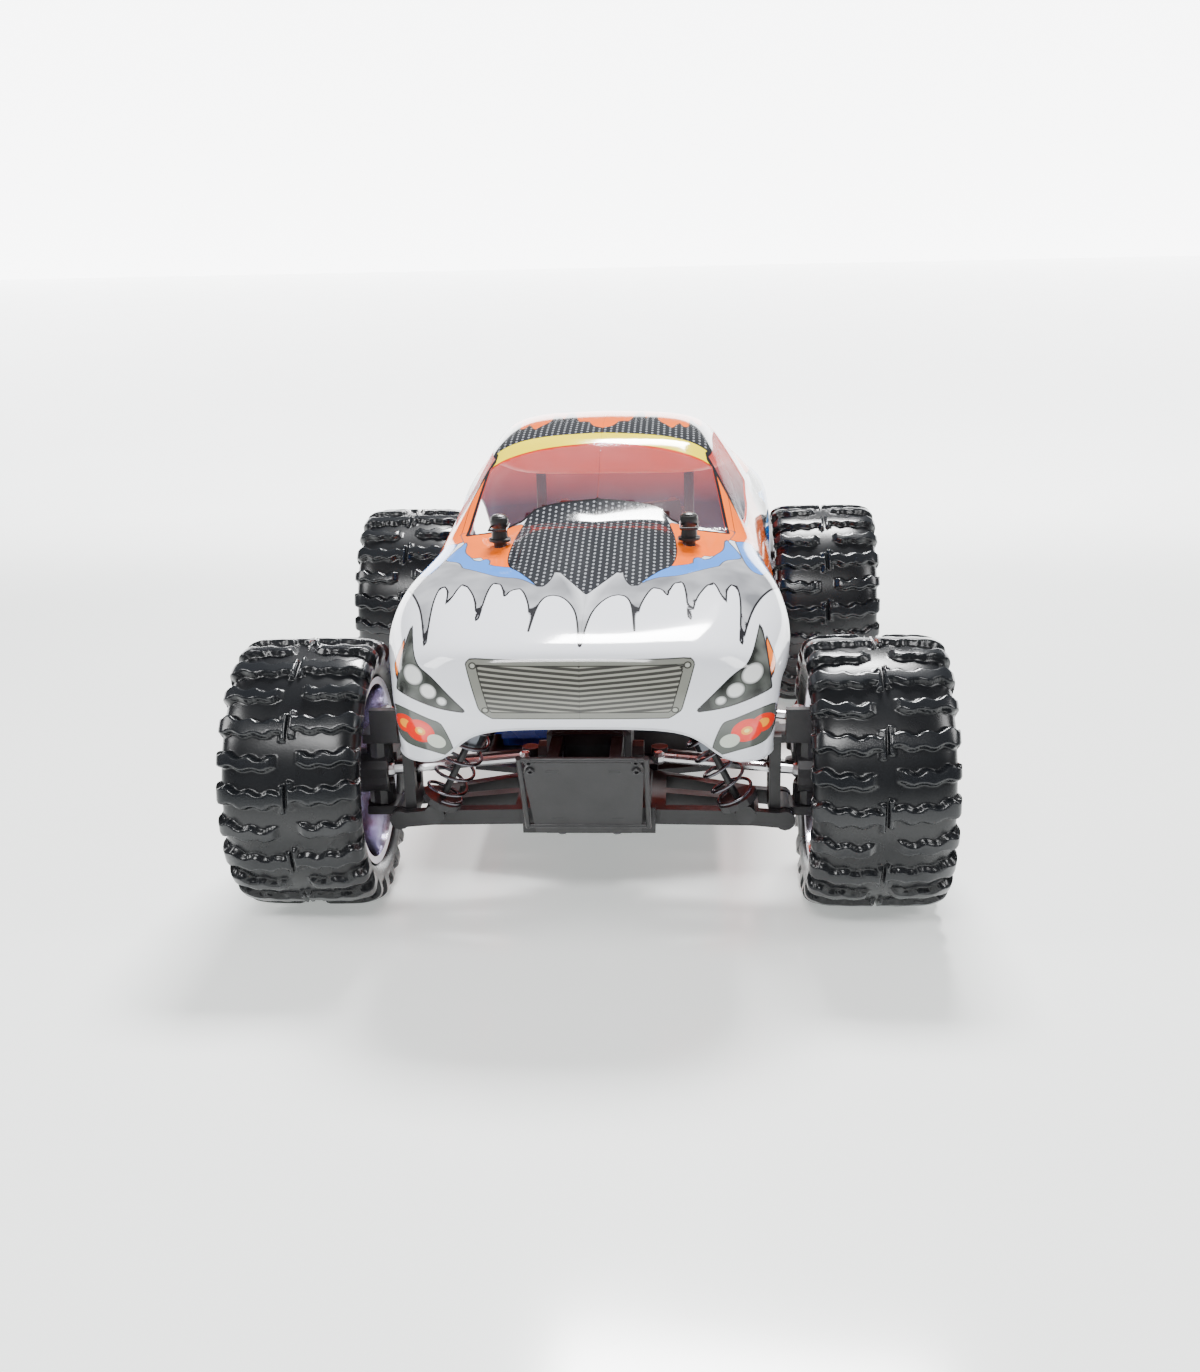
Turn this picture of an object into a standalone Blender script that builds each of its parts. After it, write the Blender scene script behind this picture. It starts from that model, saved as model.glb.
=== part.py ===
"""Radio-controlled monster truck, 1/10 class. Metres, +Z up, nose towards -Y, standing on Z = 0."""
import math

import bmesh
import bpy
import numpy as np
from mathutils import Matrix, Vector

# Driving dimensions
MM = 0.001
GAP = 0.3 * MM                  # running gap between neighbours
WHEELBASE = 276 * MM
HALF_TRACK = 124.5 * MM         # centre of a wheel from the middle plane
TYRE_RADIUS = 60.5 * MM
TYRE_WIDTH = 62 * MM
TYRE_WALL = 3 * MM
BEAD_RADIUS = 40.5 * MM
RIM_WIDTH = 50 * MM
RIM_WALL = 2 * MM
KINGPIN_X = 96 * MM
CARRIER_HALF_WIDTH = 10 * MM
CHASSIS_BOTTOM = 42 * MM
CHASSIS_THICK = 3 * MM
CHASSIS_HALF_WIDTH = 60 * MM
NOSE_HALF_WIDTH = 18.5 * MM
GEARBOX_HALF_WIDTH = 18.5 * MM
GEARBOX_HALF_LENGTH = 18 * MM
GEARBOX_TOP = 86 * MM
TOWER_OFFSET = 12 * MM           # tower plate beyond the axle line
TOWER_THICK = 4 * MM
PIN_X = 24 * MM                 # inner hinge pin of a lower arm
PIN_Z = 48 * MM
ARM_SPAN = 62 * MM              # from the inner to the outer hinge, along X
ARM_DROP = 6 * MM               # the outer hinge lies this much lower
ARM_THICK = 7 * MM
LINK_X = 30 * MM                # inner ends of upper link, half shaft and tie rod
LINK_Z = 92 * MM
TIE_ROD_Z = 60 * MM
TIE_ROD_BACK = 23 * MM          # steering ball behind the axle line
SHOCK_OFFSET = 23.5 * MM        # shock plane beyond the axle line
SHOCK_TOP_X = 34 * MM
SHOCK_TOP_Z = 118 * MM
SHOCK_FOOT_X = 68 * MM
SHOCK_FOOT_Z = 50 * MM
SHOCK_BODY_RADIUS = 6.2 * MM
SHOCK_BODY_LENGTH = 36 * MM
SPRING_RADIUS = 9 * MM
SHAFT_RADIUS = 1.6 * MM
DRIVE_Z = 66.5 * MM             # output and centre shaft height
GEAR_MODULE = 0.8 * MM
SPUR_TEETH = 48
PINION_TEETH = 18
SPUR_Y = 66 * MM
MOTOR_RADIUS = 18 * MM
MOTOR_LENGTH = 50 * MM
BATTERY = (46 * MM, 132 * MM, 24 * MM)
SHELL_WALL = 1.2 * MM
SHELL_OVERHANG = 62 * MM         # body beyond each axle line
SHELL_DRAWN_AXLE = 138 * MM      # axle line the net of the body was drawn for
SHELL_BELT = 88 * MM            # half-width at the belt line
ROOF_Z = 194 * MM
HOOD_Z = 150 * MM
SILL_Z = 84 * MM
POST_X = 44 * MM
POST_RADIUS = 3 * MM
FRONT_POST_BACK = 53 * MM        # front posts behind the front axle line
REAR_POST_AHEAD = 20 * MM        # rear posts ahead of the rear axle line
FRONT_POST_TOP = 166 * MM
REAR_POST_TOP = 166 * MM
BUMPER_AHEAD = 57 * MM          # top edge of the bumper ahead of the front axle line

WHEEL_FACETS = 24

AXLE_Y = WHEELBASE / 2
BUMPER_Y = -AXLE_Y - BUMPER_AHEAD
FRONT_POST_Y = FRONT_POST_BACK - AXLE_Y
REAR_POST_Y = AXLE_Y - REAR_POST_AHEAD
AXLE_Z = TYRE_RADIUS
PLATE_TOP = CHASSIS_BOTTOM + CHASSIS_THICK
OUTER_X = PIN_X + ARM_SPAN
OUTER_Z = PIN_Z - ARM_DROP

BLACK = (0.02, 0.02, 0.022)
DARK = (0.05, 0.05, 0.055)
CHROME = (0.8, 0.78, 0.86)
STEEL = (0.6, 0.6, 0.62)
BLUE = (0.05, 0.2, 0.6)
WHITE = (0.9, 0.91, 0.95)


def clear_scene():
    for thing in list(bpy.data.objects):
        bpy.data.objects.remove(thing, do_unlink=True)


def new_collection(name):
    group = bpy.data.collections.new(name)
    bpy.context.scene.collection.children.link(group)
    return group


def finish_for(colour, roughness, metallic):
    name = "finish_%02d_%02d_%02d_%02d" % tuple(int(99 * v) for v in (*colour, roughness))
    surface = bpy.data.materials.get(name)
    if surface is None:
        surface = bpy.data.materials.new(name)
        surface.use_nodes = True
        shader = surface.node_tree.nodes["Principled BSDF"]
        shader.inputs["Base Color"].default_value = (*colour, 1)
        shader.inputs["Roughness"].default_value = roughness
        shader.inputs["Metallic"].default_value = metallic
    return surface


# Solids: each helper gives a bmesh whose place is already in its vertices
def box(size, centre):
    bm = bmesh.new()
    bmesh.ops.create_cube(bm, size=1)
    bmesh.ops.scale(bm, vec=size, verts=bm.verts)
    bmesh.ops.translate(bm, vec=centre, verts=bm.verts)
    return bm


def rod(start, end, radius, end_radius=None, sides=12):
    """A cylinder or cone frustum from start to end."""
    start = Vector(start)
    end = Vector(end)
    bm = bmesh.new()
    length = (end - start).length
    far = radius if end_radius is None else end_radius
    bmesh.ops.create_cone(bm, cap_ends=True, segments=sides, radius1=radius, radius2=far, depth=length)
    turn = (end - start).to_track_quat("Z", "Y").to_matrix().to_4x4()
    place = Matrix.Translation((start + end) / 2) @ turn
    bmesh.ops.transform(bm, matrix=place, verts=bm.verts)
    return bm


def turned(profile, axis, centre, steps=32):
    """A closed (radius, along) outline turned about an axis through the centre."""
    bm = bmesh.new()
    corners = [bm.verts.new((radius, 0, along)) for radius, along in profile]
    for i in range(len(corners)):
        bm.edges.new((corners[i - 1], corners[i]))
    mesh = bpy.data.meshes.new("outline")
    bm.to_mesh(mesh)
    bm.free()
    guide = bpy.data.objects.new("outline", mesh)
    bpy.context.scene.collection.objects.link(guide)
    screw = guide.modifiers.new("turn", "SCREW")
    screw.steps = steps
    screw.render_steps = steps
    screw.use_merge_vertices = True
    screw.merge_threshold = 0.0001 * MM
    bpy.context.view_layer.update()
    evaluated = guide.evaluated_get(bpy.context.evaluated_depsgraph_get())
    solid = bmesh.new()
    solid.from_mesh(evaluated.to_mesh())
    bpy.data.objects.remove(guide, do_unlink=True)
    bmesh.ops.remove_doubles(solid, verts=solid.verts, dist=0.001 * MM)
    bmesh.ops.recalc_face_normals(solid, faces=solid.faces)
    turn = Vector(axis).to_track_quat("Z", "Y").to_matrix().to_4x4()
    bmesh.ops.transform(solid, matrix=Matrix.Translation(centre) @ turn, verts=solid.verts)
    return solid


def plate(outline, thickness, place):
    """A flat outline in its own XY plane, thickened both ways and then placed."""
    curve = bpy.data.curves.new("outline", "CURVE")
    curve.dimensions = "2D"
    curve.fill_mode = "BOTH"
    curve.extrude = thickness / 2
    spline = curve.splines.new("POLY")
    spline.points.add(len(outline) - 1)
    for point, (x, y) in zip(spline.points, outline):
        point.co = (x, y, 0, 1)
    spline.use_cyclic_u = True
    guide = bpy.data.objects.new("outline", curve)
    bpy.context.scene.collection.objects.link(guide)
    bpy.context.view_layer.update()
    evaluated = guide.evaluated_get(bpy.context.evaluated_depsgraph_get())
    bm = bmesh.new()
    bm.from_mesh(bpy.data.meshes.new_from_object(evaluated))
    bpy.data.objects.remove(guide, do_unlink=True)
    bmesh.ops.remove_doubles(bm, verts=bm.verts, dist=0.001 * MM)
    bmesh.ops.recalc_face_normals(bm, faces=bm.faces)
    bmesh.ops.transform(bm, matrix=place, verts=bm.verts)
    return bm


def upright(y):
    """Places a flat outline drawn as (x, z) in the plane Y = y."""
    return Matrix.Translation((0, y, 0)) @ Matrix.Rotation(math.pi / 2, 4, "X")


def mirrored_x(bm):
    copy = bm.copy()
    bmesh.ops.scale(copy, vec=(-1, 1, 1), verts=copy.verts)
    bmesh.ops.reverse_faces(copy, faces=copy.faces)
    return copy


def add_object(name, bm, group):
    mesh = bpy.data.meshes.new(name)
    bm.to_mesh(mesh)
    thing = bpy.data.objects.new(name, mesh)
    group.objects.link(thing)
    return thing


def node(name, base, joined=(), cut=(), look=(BLACK, 0.5, 0.0), origin=(0, 0, 0)):
    """One sub-part: a base solid with others joined to it and cut from it."""
    thing = add_object(name, base, TRUCK)
    for kind, solids in (("UNION", joined), ("DIFFERENCE", cut)):
        for number, solid in enumerate(solids):
            tool = add_object("%s_%s_%d" % (name, kind.lower(), number), solid, CUTTERS)
            tool.hide_render = True
            tool.display_type = "WIRE"
            tool.parent = thing
            step = thing.modifiers.new(kind.lower(), "BOOLEAN")
            step.operation = kind
            step.object = tool
            step.solver = "EXACT"
    for part in (thing, *thing.children):
        part.data.transform(Matrix.Translation(-Vector(origin)))
    thing.location = origin
    thing.data.materials.append(finish_for(*look))
    thing.data.shade_smooth()
    thing.data.set_sharp_from_angle(angle=math.radians(30))
    return thing


# End is -1 at the nose and 1 at the tail, side is 1 at +X, the driver's left
ENDS = (("front", -1), ("rear", 1))
SIDES = (("left", 1), ("right", -1))


# Chassis
def make_chassis():
    half = CHASSIS_HALF_WIDTH
    nose = NOSE_HALF_WIDTH
    end = AXLE_Y + 28 * MM
    middle = AXLE_Y - 46 * MM
    right = [(nose, -end), (nose, -middle - 10 * MM), (half, -middle),
             (half, middle), (nose, middle + 10 * MM), (nose, end)]
    outline = right + [(-x, y) for x, y in reversed(right)]
    floor = plate(outline, CHASSIS_THICK, Matrix.Translation((0, 0, CHASSIS_BOTTOM + CHASSIS_THICK / 2)))
    rail = 9 * MM
    joined = []
    for side in (-1, 1):
        size = (4 * MM, 2 * middle - 8 * MM, rail)
        joined.append(box(size, (side * (half - 2.2 * MM), 0, PLATE_TOP + rail / 2 - MM)))
        for sign in (-1, 1):
            for along in (-25.5 * MM, 25.5 * MM):
                y = sign * AXLE_Y + along
                block = (13 * MM, 5 * MM, 12 * MM)
                block_z = CHASSIS_BOTTOM + block[2] / 2 + 0.1 * MM
                joined.append(box(block, (side * (nose + 4 * MM), y, block_z)))
    shelf = box((12 * MM, 5 * MM, 24 * MM), (0, SPUR_Y - 14 * MM, PLATE_TOP + 11 * MM))
    joined.append(shelf)
    shaft_hole = rod((0, 0, DRIVE_Z), (0, 2 * SPUR_Y, DRIVE_Z), 3 * MM + GAP)
    node("chassis_plate", floor, joined, [shaft_hole], (BLACK, 0.45, 0.0))


def make_bumper():
    top = 91 * MM
    bottom = 44 * MM
    lean = 28 * MM
    mount_y = -AXLE_Y - GEARBOX_HALF_LENGTH - GAP
    outline = [(-23 * MM, 0), (23 * MM, 0), (25 * MM, 42 * MM), (22 * MM, 50 * MM), (-22 * MM, 50 * MM),
               (-25 * MM, 42 * MM)]
    rise = math.atan2(top - bottom, lean)
    place = Matrix.Translation((0, BUMPER_Y + lean, bottom)) @ Matrix.Rotation(math.pi - rise, 4, "X")
    skid = plate(outline, 3 * MM, place)
    joined = []
    for side in (-1, 1):
        x = side * 13 * MM
        for z, front in ((bottom + 11 * MM, BUMPER_Y + 21 * MM), (top - 8 * MM, BUMPER_Y + 4 * MM)):
            joined.append(box((5 * MM, mount_y - front, 5 * MM), (x, (front + mount_y) / 2, z)))
        joined.append(box((5 * MM, 5 * MM, 34 * MM), (x, mount_y - 2.5 * MM, top - 22 * MM)))
    joined.append(box((30 * MM, 5 * MM, 5 * MM), (0, mount_y - 2.5 * MM, top - 7 * MM)))
    keep_out = box((60 * MM, 60 * MM, 20 * MM), (0, -AXLE_Y, CHASSIS_BOTTOM))
    node("front_bumper", skid, joined, [keep_out], (BLACK, 0.5, 0.0))


def make_gearboxes():
    for name, end in ENDS:
        low = PLATE_TOP + GAP
        high = GEARBOX_TOP
        half = GEARBOX_HALF_WIDTH
        case = box((2 * half, 2 * GEARBOX_HALF_LENGTH, high - low), (0, end * AXLE_Y, (low + high) / 2))
        bmesh.ops.bevel(case, geom=case.edges[:], offset=2.5 * MM, segments=1, affect="EDGES")
        snout = rod((0, end * (AXLE_Y - 30 * MM), DRIVE_Z), (0, end * AXLE_Y, DRIVE_Z), 8 * MM)
        hub_x = half + 5 * MM
        hubs = rod((-hub_x, end * AXLE_Y, DRIVE_Z), (hub_x, end * AXLE_Y, DRIVE_Z), 8 * MM)
        bore_x = hub_x + MM
        sockets = rod((-bore_x, end * AXLE_Y, DRIVE_Z), (bore_x, end * AXLE_Y, DRIVE_Z), 5.5 * MM)
        bore_ends = [(0, end * (AXLE_Y - reach), DRIVE_Z) for reach in (32 * MM, 18 * MM)]
        bore = rod(*bore_ends, 3 * MM + GAP)
        node(name + "_gearbox", case, [snout, hubs], [sockets, bore], (DARK, 0.5, 0.0))


def make_towers():
    for name, end in ENDS:
        y = end * (AXLE_Y + TOWER_OFFSET)
        foot = GEARBOX_TOP + GAP
        right = [(16 * MM, foot), (34 * MM, 88 * MM), (35 * MM, 96 * MM), (30 * MM, 101 * MM),
                 (SHOCK_TOP_X + 6 * MM, SHOCK_TOP_Z - 2 * MM), (SHOCK_TOP_X + 4 * MM, SHOCK_TOP_Z + 6 * MM),
                 (16 * MM, SHOCK_TOP_Z + 4 * MM)]
        outline = right + [(-x, z) for x, z in reversed(right)]
        body = plate(outline, TOWER_THICK, upright(y))
        joined = []
        for side in (-1, 1):
            x = side * SHOCK_TOP_X
            reach = end * (AXLE_Y + SHOCK_OFFSET - 3.4 * MM - GAP)
            joined.append(rod((x, y, SHOCK_TOP_Z), (x, reach, SHOCK_TOP_Z), 3.5 * MM))
            link = side * LINK_X
            inner = end * (AXLE_Y + 3.5 * MM + GAP)
            joined.append(rod((link, y, LINK_Z), (link, inner, LINK_Z), 3 * MM))
        window = plate([(-9 * MM, 92 * MM), (9 * MM, 92 * MM), (12 * MM, 112 * MM), (-12 * MM, 112 * MM)],
                       12 * MM, upright(y))
        node(name + "_shock_tower", body, joined, [window], (BLACK, 0.45, 0.0))


def make_body_posts():
    sets = (("front", FRONT_POST_Y, FRONT_POST_TOP), ("rear", REAR_POST_Y, REAR_POST_TOP))
    for name, y, top in sets:
        foot = 104 * MM
        end = -1 if name == "front" else 1
        bar = box((2 * POST_X + 8 * MM, 8 * MM, 5 * MM), (0, y, foot + 2.5 * MM))
        tower = end * (AXLE_Y + TOWER_OFFSET - TOWER_THICK / 2 - GAP)
        reach = abs(tower - y)
        arm = box((20 * MM, reach, 4 * MM), (0, (tower + y) / 2, foot + 2.2 * MM))
        joined = [arm]
        for side in (-1, 1):
            x = side * POST_X
            joined.append(rod((x, y, foot + MM), (x, y, top), POST_RADIUS, sides=12))
        node(name + "_body_posts", bar, joined, (), (BLACK, 0.4, 0.0))


def rounded_box(size, centre, radius):
    solid = box(size, centre)
    bmesh.ops.bevel(solid, geom=solid.edges[:], offset=radius, segments=2, affect="EDGES")
    return solid


def make_electronics():
    floor = PLATE_TOP + GAP
    wide, long, tall = BATTERY
    centre_x = wide / 2 + 5 * MM - CHASSIS_HALF_WIDTH
    rear_end = SPUR_Y - 8 * MM
    cells = rounded_box(BATTERY, (centre_x, rear_end - long / 2, floor + tall / 2), 6 * MM)
    node("battery_pack", cells, look=((0.1, 0.12, 0.5), 0.4, 0.0))
    esc = rounded_box((36 * MM, 38 * MM, 22 * MM), (32 * MM, -22 * MM, floor + 11 * MM), 1.5 * MM)
    node("speed_controller", esc, look=((0.08, 0.09, 0.1), 0.4, 0.0))
    servo = rounded_box((38 * MM, 20 * MM, 32 * MM), (32 * MM, -72 * MM, floor + 16 * MM), MM)
    spline = rod((20 * MM, -72 * MM, floor + 30 * MM), (20 * MM, -72 * MM, floor + 36 * MM), 4 * MM)
    node("steering_servo", servo, [spline], look=((0.03, 0.03, 0.035), 0.35, 0.0))
    receiver = rounded_box((26 * MM, 18 * MM, 14 * MM), (42 * MM, 80 * MM, floor + 7 * MM), MM)
    node("receiver", receiver, look=((0.05, 0.05, 0.05), 0.4, 0.0))
    centre = (SPUR_TEETH + PINION_TEETH) / 2 * GEAR_MODULE
    front = SPUR_Y - 8 * MM - MOTOR_LENGTH
    can = rod((centre, front, DRIVE_Z), (centre, front + MOTOR_LENGTH, DRIVE_Z), MOTOR_RADIUS, sides=24)
    tail = rod((centre, front - 4 * MM, DRIVE_Z), (centre, front + MM, DRIVE_Z), 6 * MM)
    seat_tall = DRIVE_Z - floor
    seat = box((14 * MM, 20 * MM, seat_tall), (centre, front + 30 * MM, floor + seat_tall / 2))
    node("motor", can, [tail, seat], look=(STEEL, 0.3, 1.0))


# Drive line
def gear(teeth, thickness, centre):
    """A spur gear with straight tooth flanks, its axis along Y."""
    pitch_radius = teeth * GEAR_MODULE / 2
    root = pitch_radius - 1.15 * GEAR_MODULE
    tip = pitch_radius + 0.85 * GEAR_MODULE
    outline = []
    for i in range(teeth):
        turns = [(-0.34, root), (-0.13, tip), (0.13, tip), (0.34, root)]
        for share, radius in turns:
            angle = 2 * math.pi * (i + share) / teeth
            outline.append((radius * math.cos(angle), radius * math.sin(angle)))
    place = Matrix.Translation(centre) @ Matrix.Rotation(math.pi / 2, 4, "X")
    return plate(outline, thickness, place)


def make_drive():
    reach = AXLE_Y - 30 * MM - 3 * MM
    spur = gear(SPUR_TEETH, 5 * MM, (0, SPUR_Y, DRIVE_Z))
    shaft = rod((0, -AXLE_Y + 20 * MM, DRIVE_Z), (0, AXLE_Y - 20 * MM, DRIVE_Z), 3 * MM, sides=16)
    cups = []
    for end in (-1, 1):
        cups.append(rod((0, end * (reach - 14 * MM), DRIVE_Z), (0, end * reach, DRIVE_Z), 5 * MM))
    node("centre_shaft", spur, [shaft, *cups], (), (STEEL, 0.35, 1.0), (0, 0, DRIVE_Z))
    centre = (SPUR_TEETH + PINION_TEETH) / 2 * GEAR_MODULE
    # A tooth of the pinion faces a space of the spur when it is turned by half a tooth
    pinion = gear(PINION_TEETH, 6 * MM, (0, 0, 0))
    half_tooth = Matrix.Rotation(math.pi / PINION_TEETH, 4, "Y")
    place = Matrix.Translation((centre, SPUR_Y, DRIVE_Z)) @ Matrix.Rotation(math.pi, 4, "Y")
    bmesh.ops.transform(pinion, matrix=place @ half_tooth, verts=pinion.verts)
    node("motor_pinion", pinion, look=(STEEL, 0.3, 1.0), origin=(centre, 0, DRIVE_Z))


# Suspension
def slope(side):
    """Turns a lower arm's own plane, whose x runs outwards, onto its place at one side."""
    angle = math.atan2(ARM_DROP, ARM_SPAN)
    if side > 0:
        return Matrix.Rotation(angle, 4, "Y")
    return Matrix.Rotation(-angle, 4, "Y") @ Matrix.Rotation(math.pi, 4, "Z")


def make_arm(name, end, side):
    length = math.hypot(ARM_SPAN, ARM_DROP)
    inner_half = 22.5 * MM
    fork_half = 15 * MM
    notch = CARRIER_HALF_WIDTH + 2 * GAP
    right = [(0, inner_half), (7 * MM, inner_half), (length - 14 * MM, fork_half), (length, fork_half),
             (length, notch), (length - 8.5 * MM, notch)]
    outline = right + [(x, -y) for x, y in reversed(right)]
    place = Matrix.Translation((side * PIN_X, end * AXLE_Y, PIN_Z)) @ slope(side)
    base = plate(outline, ARM_THICK, place)
    pins = ((PIN_X, PIN_Z, inner_half, 4.5 * MM), (OUTER_X, OUTER_Z, fork_half, 4.5 * MM))
    joined = []
    for x, z, half, radius in pins:
        joined.append(rod((side * x, end * AXLE_Y - half, z), (side * x, end * AXLE_Y + half, z), radius))
    lug = (side * SHOCK_FOOT_X, end * (AXLE_Y + 6 * MM), SHOCK_FOOT_Z)
    face = (side * SHOCK_FOOT_X, end * (AXLE_Y + SHOCK_OFFSET - 3.4 * MM - GAP), SHOCK_FOOT_Z)
    joined.append(rod(lug, face, 4.5 * MM))
    slots = []
    for sign in (-1, 1):
        slot = plate([(9 * MM, sign * 3 * MM), (9 * MM, sign * 17 * MM), (38 * MM, sign * 11 * MM),
                      (38 * MM, sign * 3 * MM)], 2 * ARM_THICK, place)
        slots.append(slot)
    carrier_room = box((20 * MM, 2 * notch, 24 * MM), (side * (OUTER_X - 1.5 * MM), end * AXLE_Y, OUTER_Z))
    origin = (side * PIN_X, end * AXLE_Y, PIN_Z)
    node(name + "_lower_arm", base, joined, [*slots, carrier_room], (BLACK, 0.5, 0.0), origin)


def make_link(name, end, side):
    y = end * AXLE_Y
    inner = (side * LINK_X, y, LINK_Z)
    outer = (side * (LINK_X + ARM_SPAN), y, LINK_Z - ARM_DROP)
    base = rod(inner, outer, 2 * MM, sides=10)
    joined = []
    for place in (inner, outer):
        centre = Vector(place)
        ball = rod(centre - Vector((0, 3.5 * MM, 0)), centre + Vector((0, 3.5 * MM, 0)), 4.5 * MM)
        joined.append(ball)
    node(name + "_upper_link", base, joined, (), (BLACK, 0.4, 0.0), inner)


def make_half_shaft(name, end, side):
    y = end * AXLE_Y
    inner = (side * LINK_X, y, DRIVE_Z)
    outer = (side * (LINK_X + ARM_SPAN), y, DRIVE_Z - ARM_DROP)
    base = rod(inner, outer, 2.2 * MM, sides=10)
    joined = []
    for place in (inner, outer):
        bm = bmesh.new()
        bmesh.ops.create_uvsphere(bm, u_segments=8, v_segments=5, radius=3.4 * MM)
        bmesh.ops.translate(bm, vec=place, verts=bm.verts)
        joined.append(bm)
    node(name + "_half_shaft", base, joined, (), (STEEL, 0.3, 1.0), inner)


def make_shock(name, end, side):
    y = end * (AXLE_Y + SHOCK_OFFSET)
    top = Vector((side * SHOCK_TOP_X, y, SHOCK_TOP_Z))
    foot = Vector((side * SHOCK_FOOT_X, y, SHOCK_FOOT_Z))
    along = (foot - top).normalized()
    width = Vector((0, 3.4 * MM, 0))
    eye = 4.5 * MM
    body_end = top + along * (eye + SHOCK_BODY_LENGTH)
    base = rod(top - width, top + width, eye)
    barrel = rod(top + along * 4.2 * MM, body_end, SHOCK_BODY_RADIUS)
    collar_at = top + along * 15 * MM
    collar = rod(collar_at, collar_at + along * 3 * MM, SPRING_RADIUS + MM)
    bore = rod(body_end - along * 24 * MM, body_end + along * MM, SHAFT_RADIUS + 2 * GAP, sides=12)
    node(name + "_shock_body", base, [barrel, collar], [bore], ((0.3, 0.32, 0.36), 0.3, 1.0), top)
    shaft_top = body_end - along * 8 * MM
    rod_end = rod(foot - width, foot + width, eye)
    shaft = rod(shaft_top, foot, SHAFT_RADIUS, sides=10)
    seat_at = foot - along * 8.5 * MM
    seat = rod(seat_at, foot - along * 5.5 * MM, SPRING_RADIUS)
    neck = rod(seat_at, foot, 3 * MM)
    node(name + "_shock_shaft", rod_end, [shaft, seat, neck], (), (DARK, 0.4, 0.0), foot)
    coil_top = collar_at + along * (3 * MM + GAP)
    coil_end = seat_at - along * GAP
    length = (coil_end - coil_top).length
    inner = SHOCK_BODY_RADIUS + 2 * GAP
    ring = [(SPRING_RADIUS, 0), (SPRING_RADIUS, length), (inner, length), (inner, 0)]
    coil = turned(ring, along, coil_top, 12)
    node(name + "_shock_spring", coil, look=((0.7, 0.7, 0.72), 0.3, 1.0), origin=coil_top)


def make_carrier(name, end, side):
    """The C-shaped block of a steered wheel, or the plain bearing block of a rear wheel."""
    y = end * AXLE_Y
    wall_x = side * 81.5 * MM
    half = CARRIER_HALF_WIDTH
    wall = box((5 * MM, 2 * half, 38 * MM), (wall_x, y, AXLE_Z + 0.5 * MM))
    boss = rod((side * OUTER_X, y - half + MM, OUTER_Z), (side * OUTER_X, y + half - MM, OUTER_Z), 4.4 * MM)
    window = box((12 * MM, 11 * MM, 19 * MM), (wall_x, y, AXLE_Z + 1.5 * MM))
    link_z = LINK_Z - ARM_DROP
    link_x = side * (LINK_X + ARM_SPAN)
    ear = box((12 * MM, 4 * MM, 15 * MM), (link_x, y + end * 6.3 * MM, link_z - 1.5 * MM))
    joined = [boss]
    if end < 0:
        flange_z = (AXLE_Z - 17 * MM, AXLE_Z + 17.5 * MM)
        for z in flange_z:
            flange = box((22 * MM, 14 * MM, 4 * MM), (side * (KINGPIN_X - 5 * MM), y, z))
            tip = rod((side * KINGPIN_X, y, z - 2 * MM), (side * KINGPIN_X, y, z + 2 * MM), 7 * MM)
            joined.extend([flange, tip])
        joined.append(ear)
        node(name + "_c_hub", wall, joined, [window], (BLACK, 0.5, 0.0), (side * OUTER_X, y, OUTER_Z))
        return
    tube = rod((wall_x, y, AXLE_Z), (side * 111.5 * MM, y, AXLE_Z), 10 * MM, sides=16)
    bore = rod((wall_x - side * 6 * MM, y, AXLE_Z), (side * 100 * MM, y, AXLE_Z), 6.5 * MM)
    bearing = rod((side * 96 * MM, y, AXLE_Z), (side * 115 * MM, y, AXLE_Z), 4 * MM)
    cap = box((16 * MM, 12 * MM, 6 * MM), (side * 88 * MM, y, link_z - 9 * MM))
    joined.extend([tube, cap, ear])
    origin = (side * OUTER_X, y, OUTER_Z)
    node(name + "_hub_carrier", wall, joined, [window, bore, bearing], (BLACK, 0.5, 0.0), origin)


def make_knuckle(name, end, side):
    y = end * AXLE_Y
    x = side * KINGPIN_X
    barrel = rod((side * 91.7 * MM, y, AXLE_Z), (side * 111.5 * MM, y, AXLE_Z), 10 * MM, sides=16)
    pillar = rod((x, y, AXLE_Z - 14.5 * MM), (x, y, AXLE_Z + 15 * MM), 6 * MM)
    arm_z = TIE_ROD_Z - ARM_DROP + 10 * MM
    back = y - end * TIE_ROD_BACK
    root = y - end * 8 * MM
    ball_x = LINK_X + ARM_SPAN
    arm_size = (6 * MM, TIE_ROD_BACK - 8 * MM, 4 * MM)
    arm = box(arm_size, (side * (ball_x + 1.2 * MM), (root + back) / 2, arm_z))
    tip = rod((side * ball_x, back, arm_z - 2 * MM), (side * ball_x, back, arm_z + 2 * MM), 3.6 * MM)
    bore = rod((side * 90 * MM, y, AXLE_Z), (side * 101 * MM, y, AXLE_Z), 6.4 * MM)
    bearing = rod((side * 96 * MM, y, AXLE_Z), (side * 115 * MM, y, AXLE_Z), 4 * MM)
    joined = [pillar, arm, tip]
    node(name + "_steering_knuckle", barrel, joined, [bore, bearing], (BLACK, 0.45, 0.0), (x, y, AXLE_Z))


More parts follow.
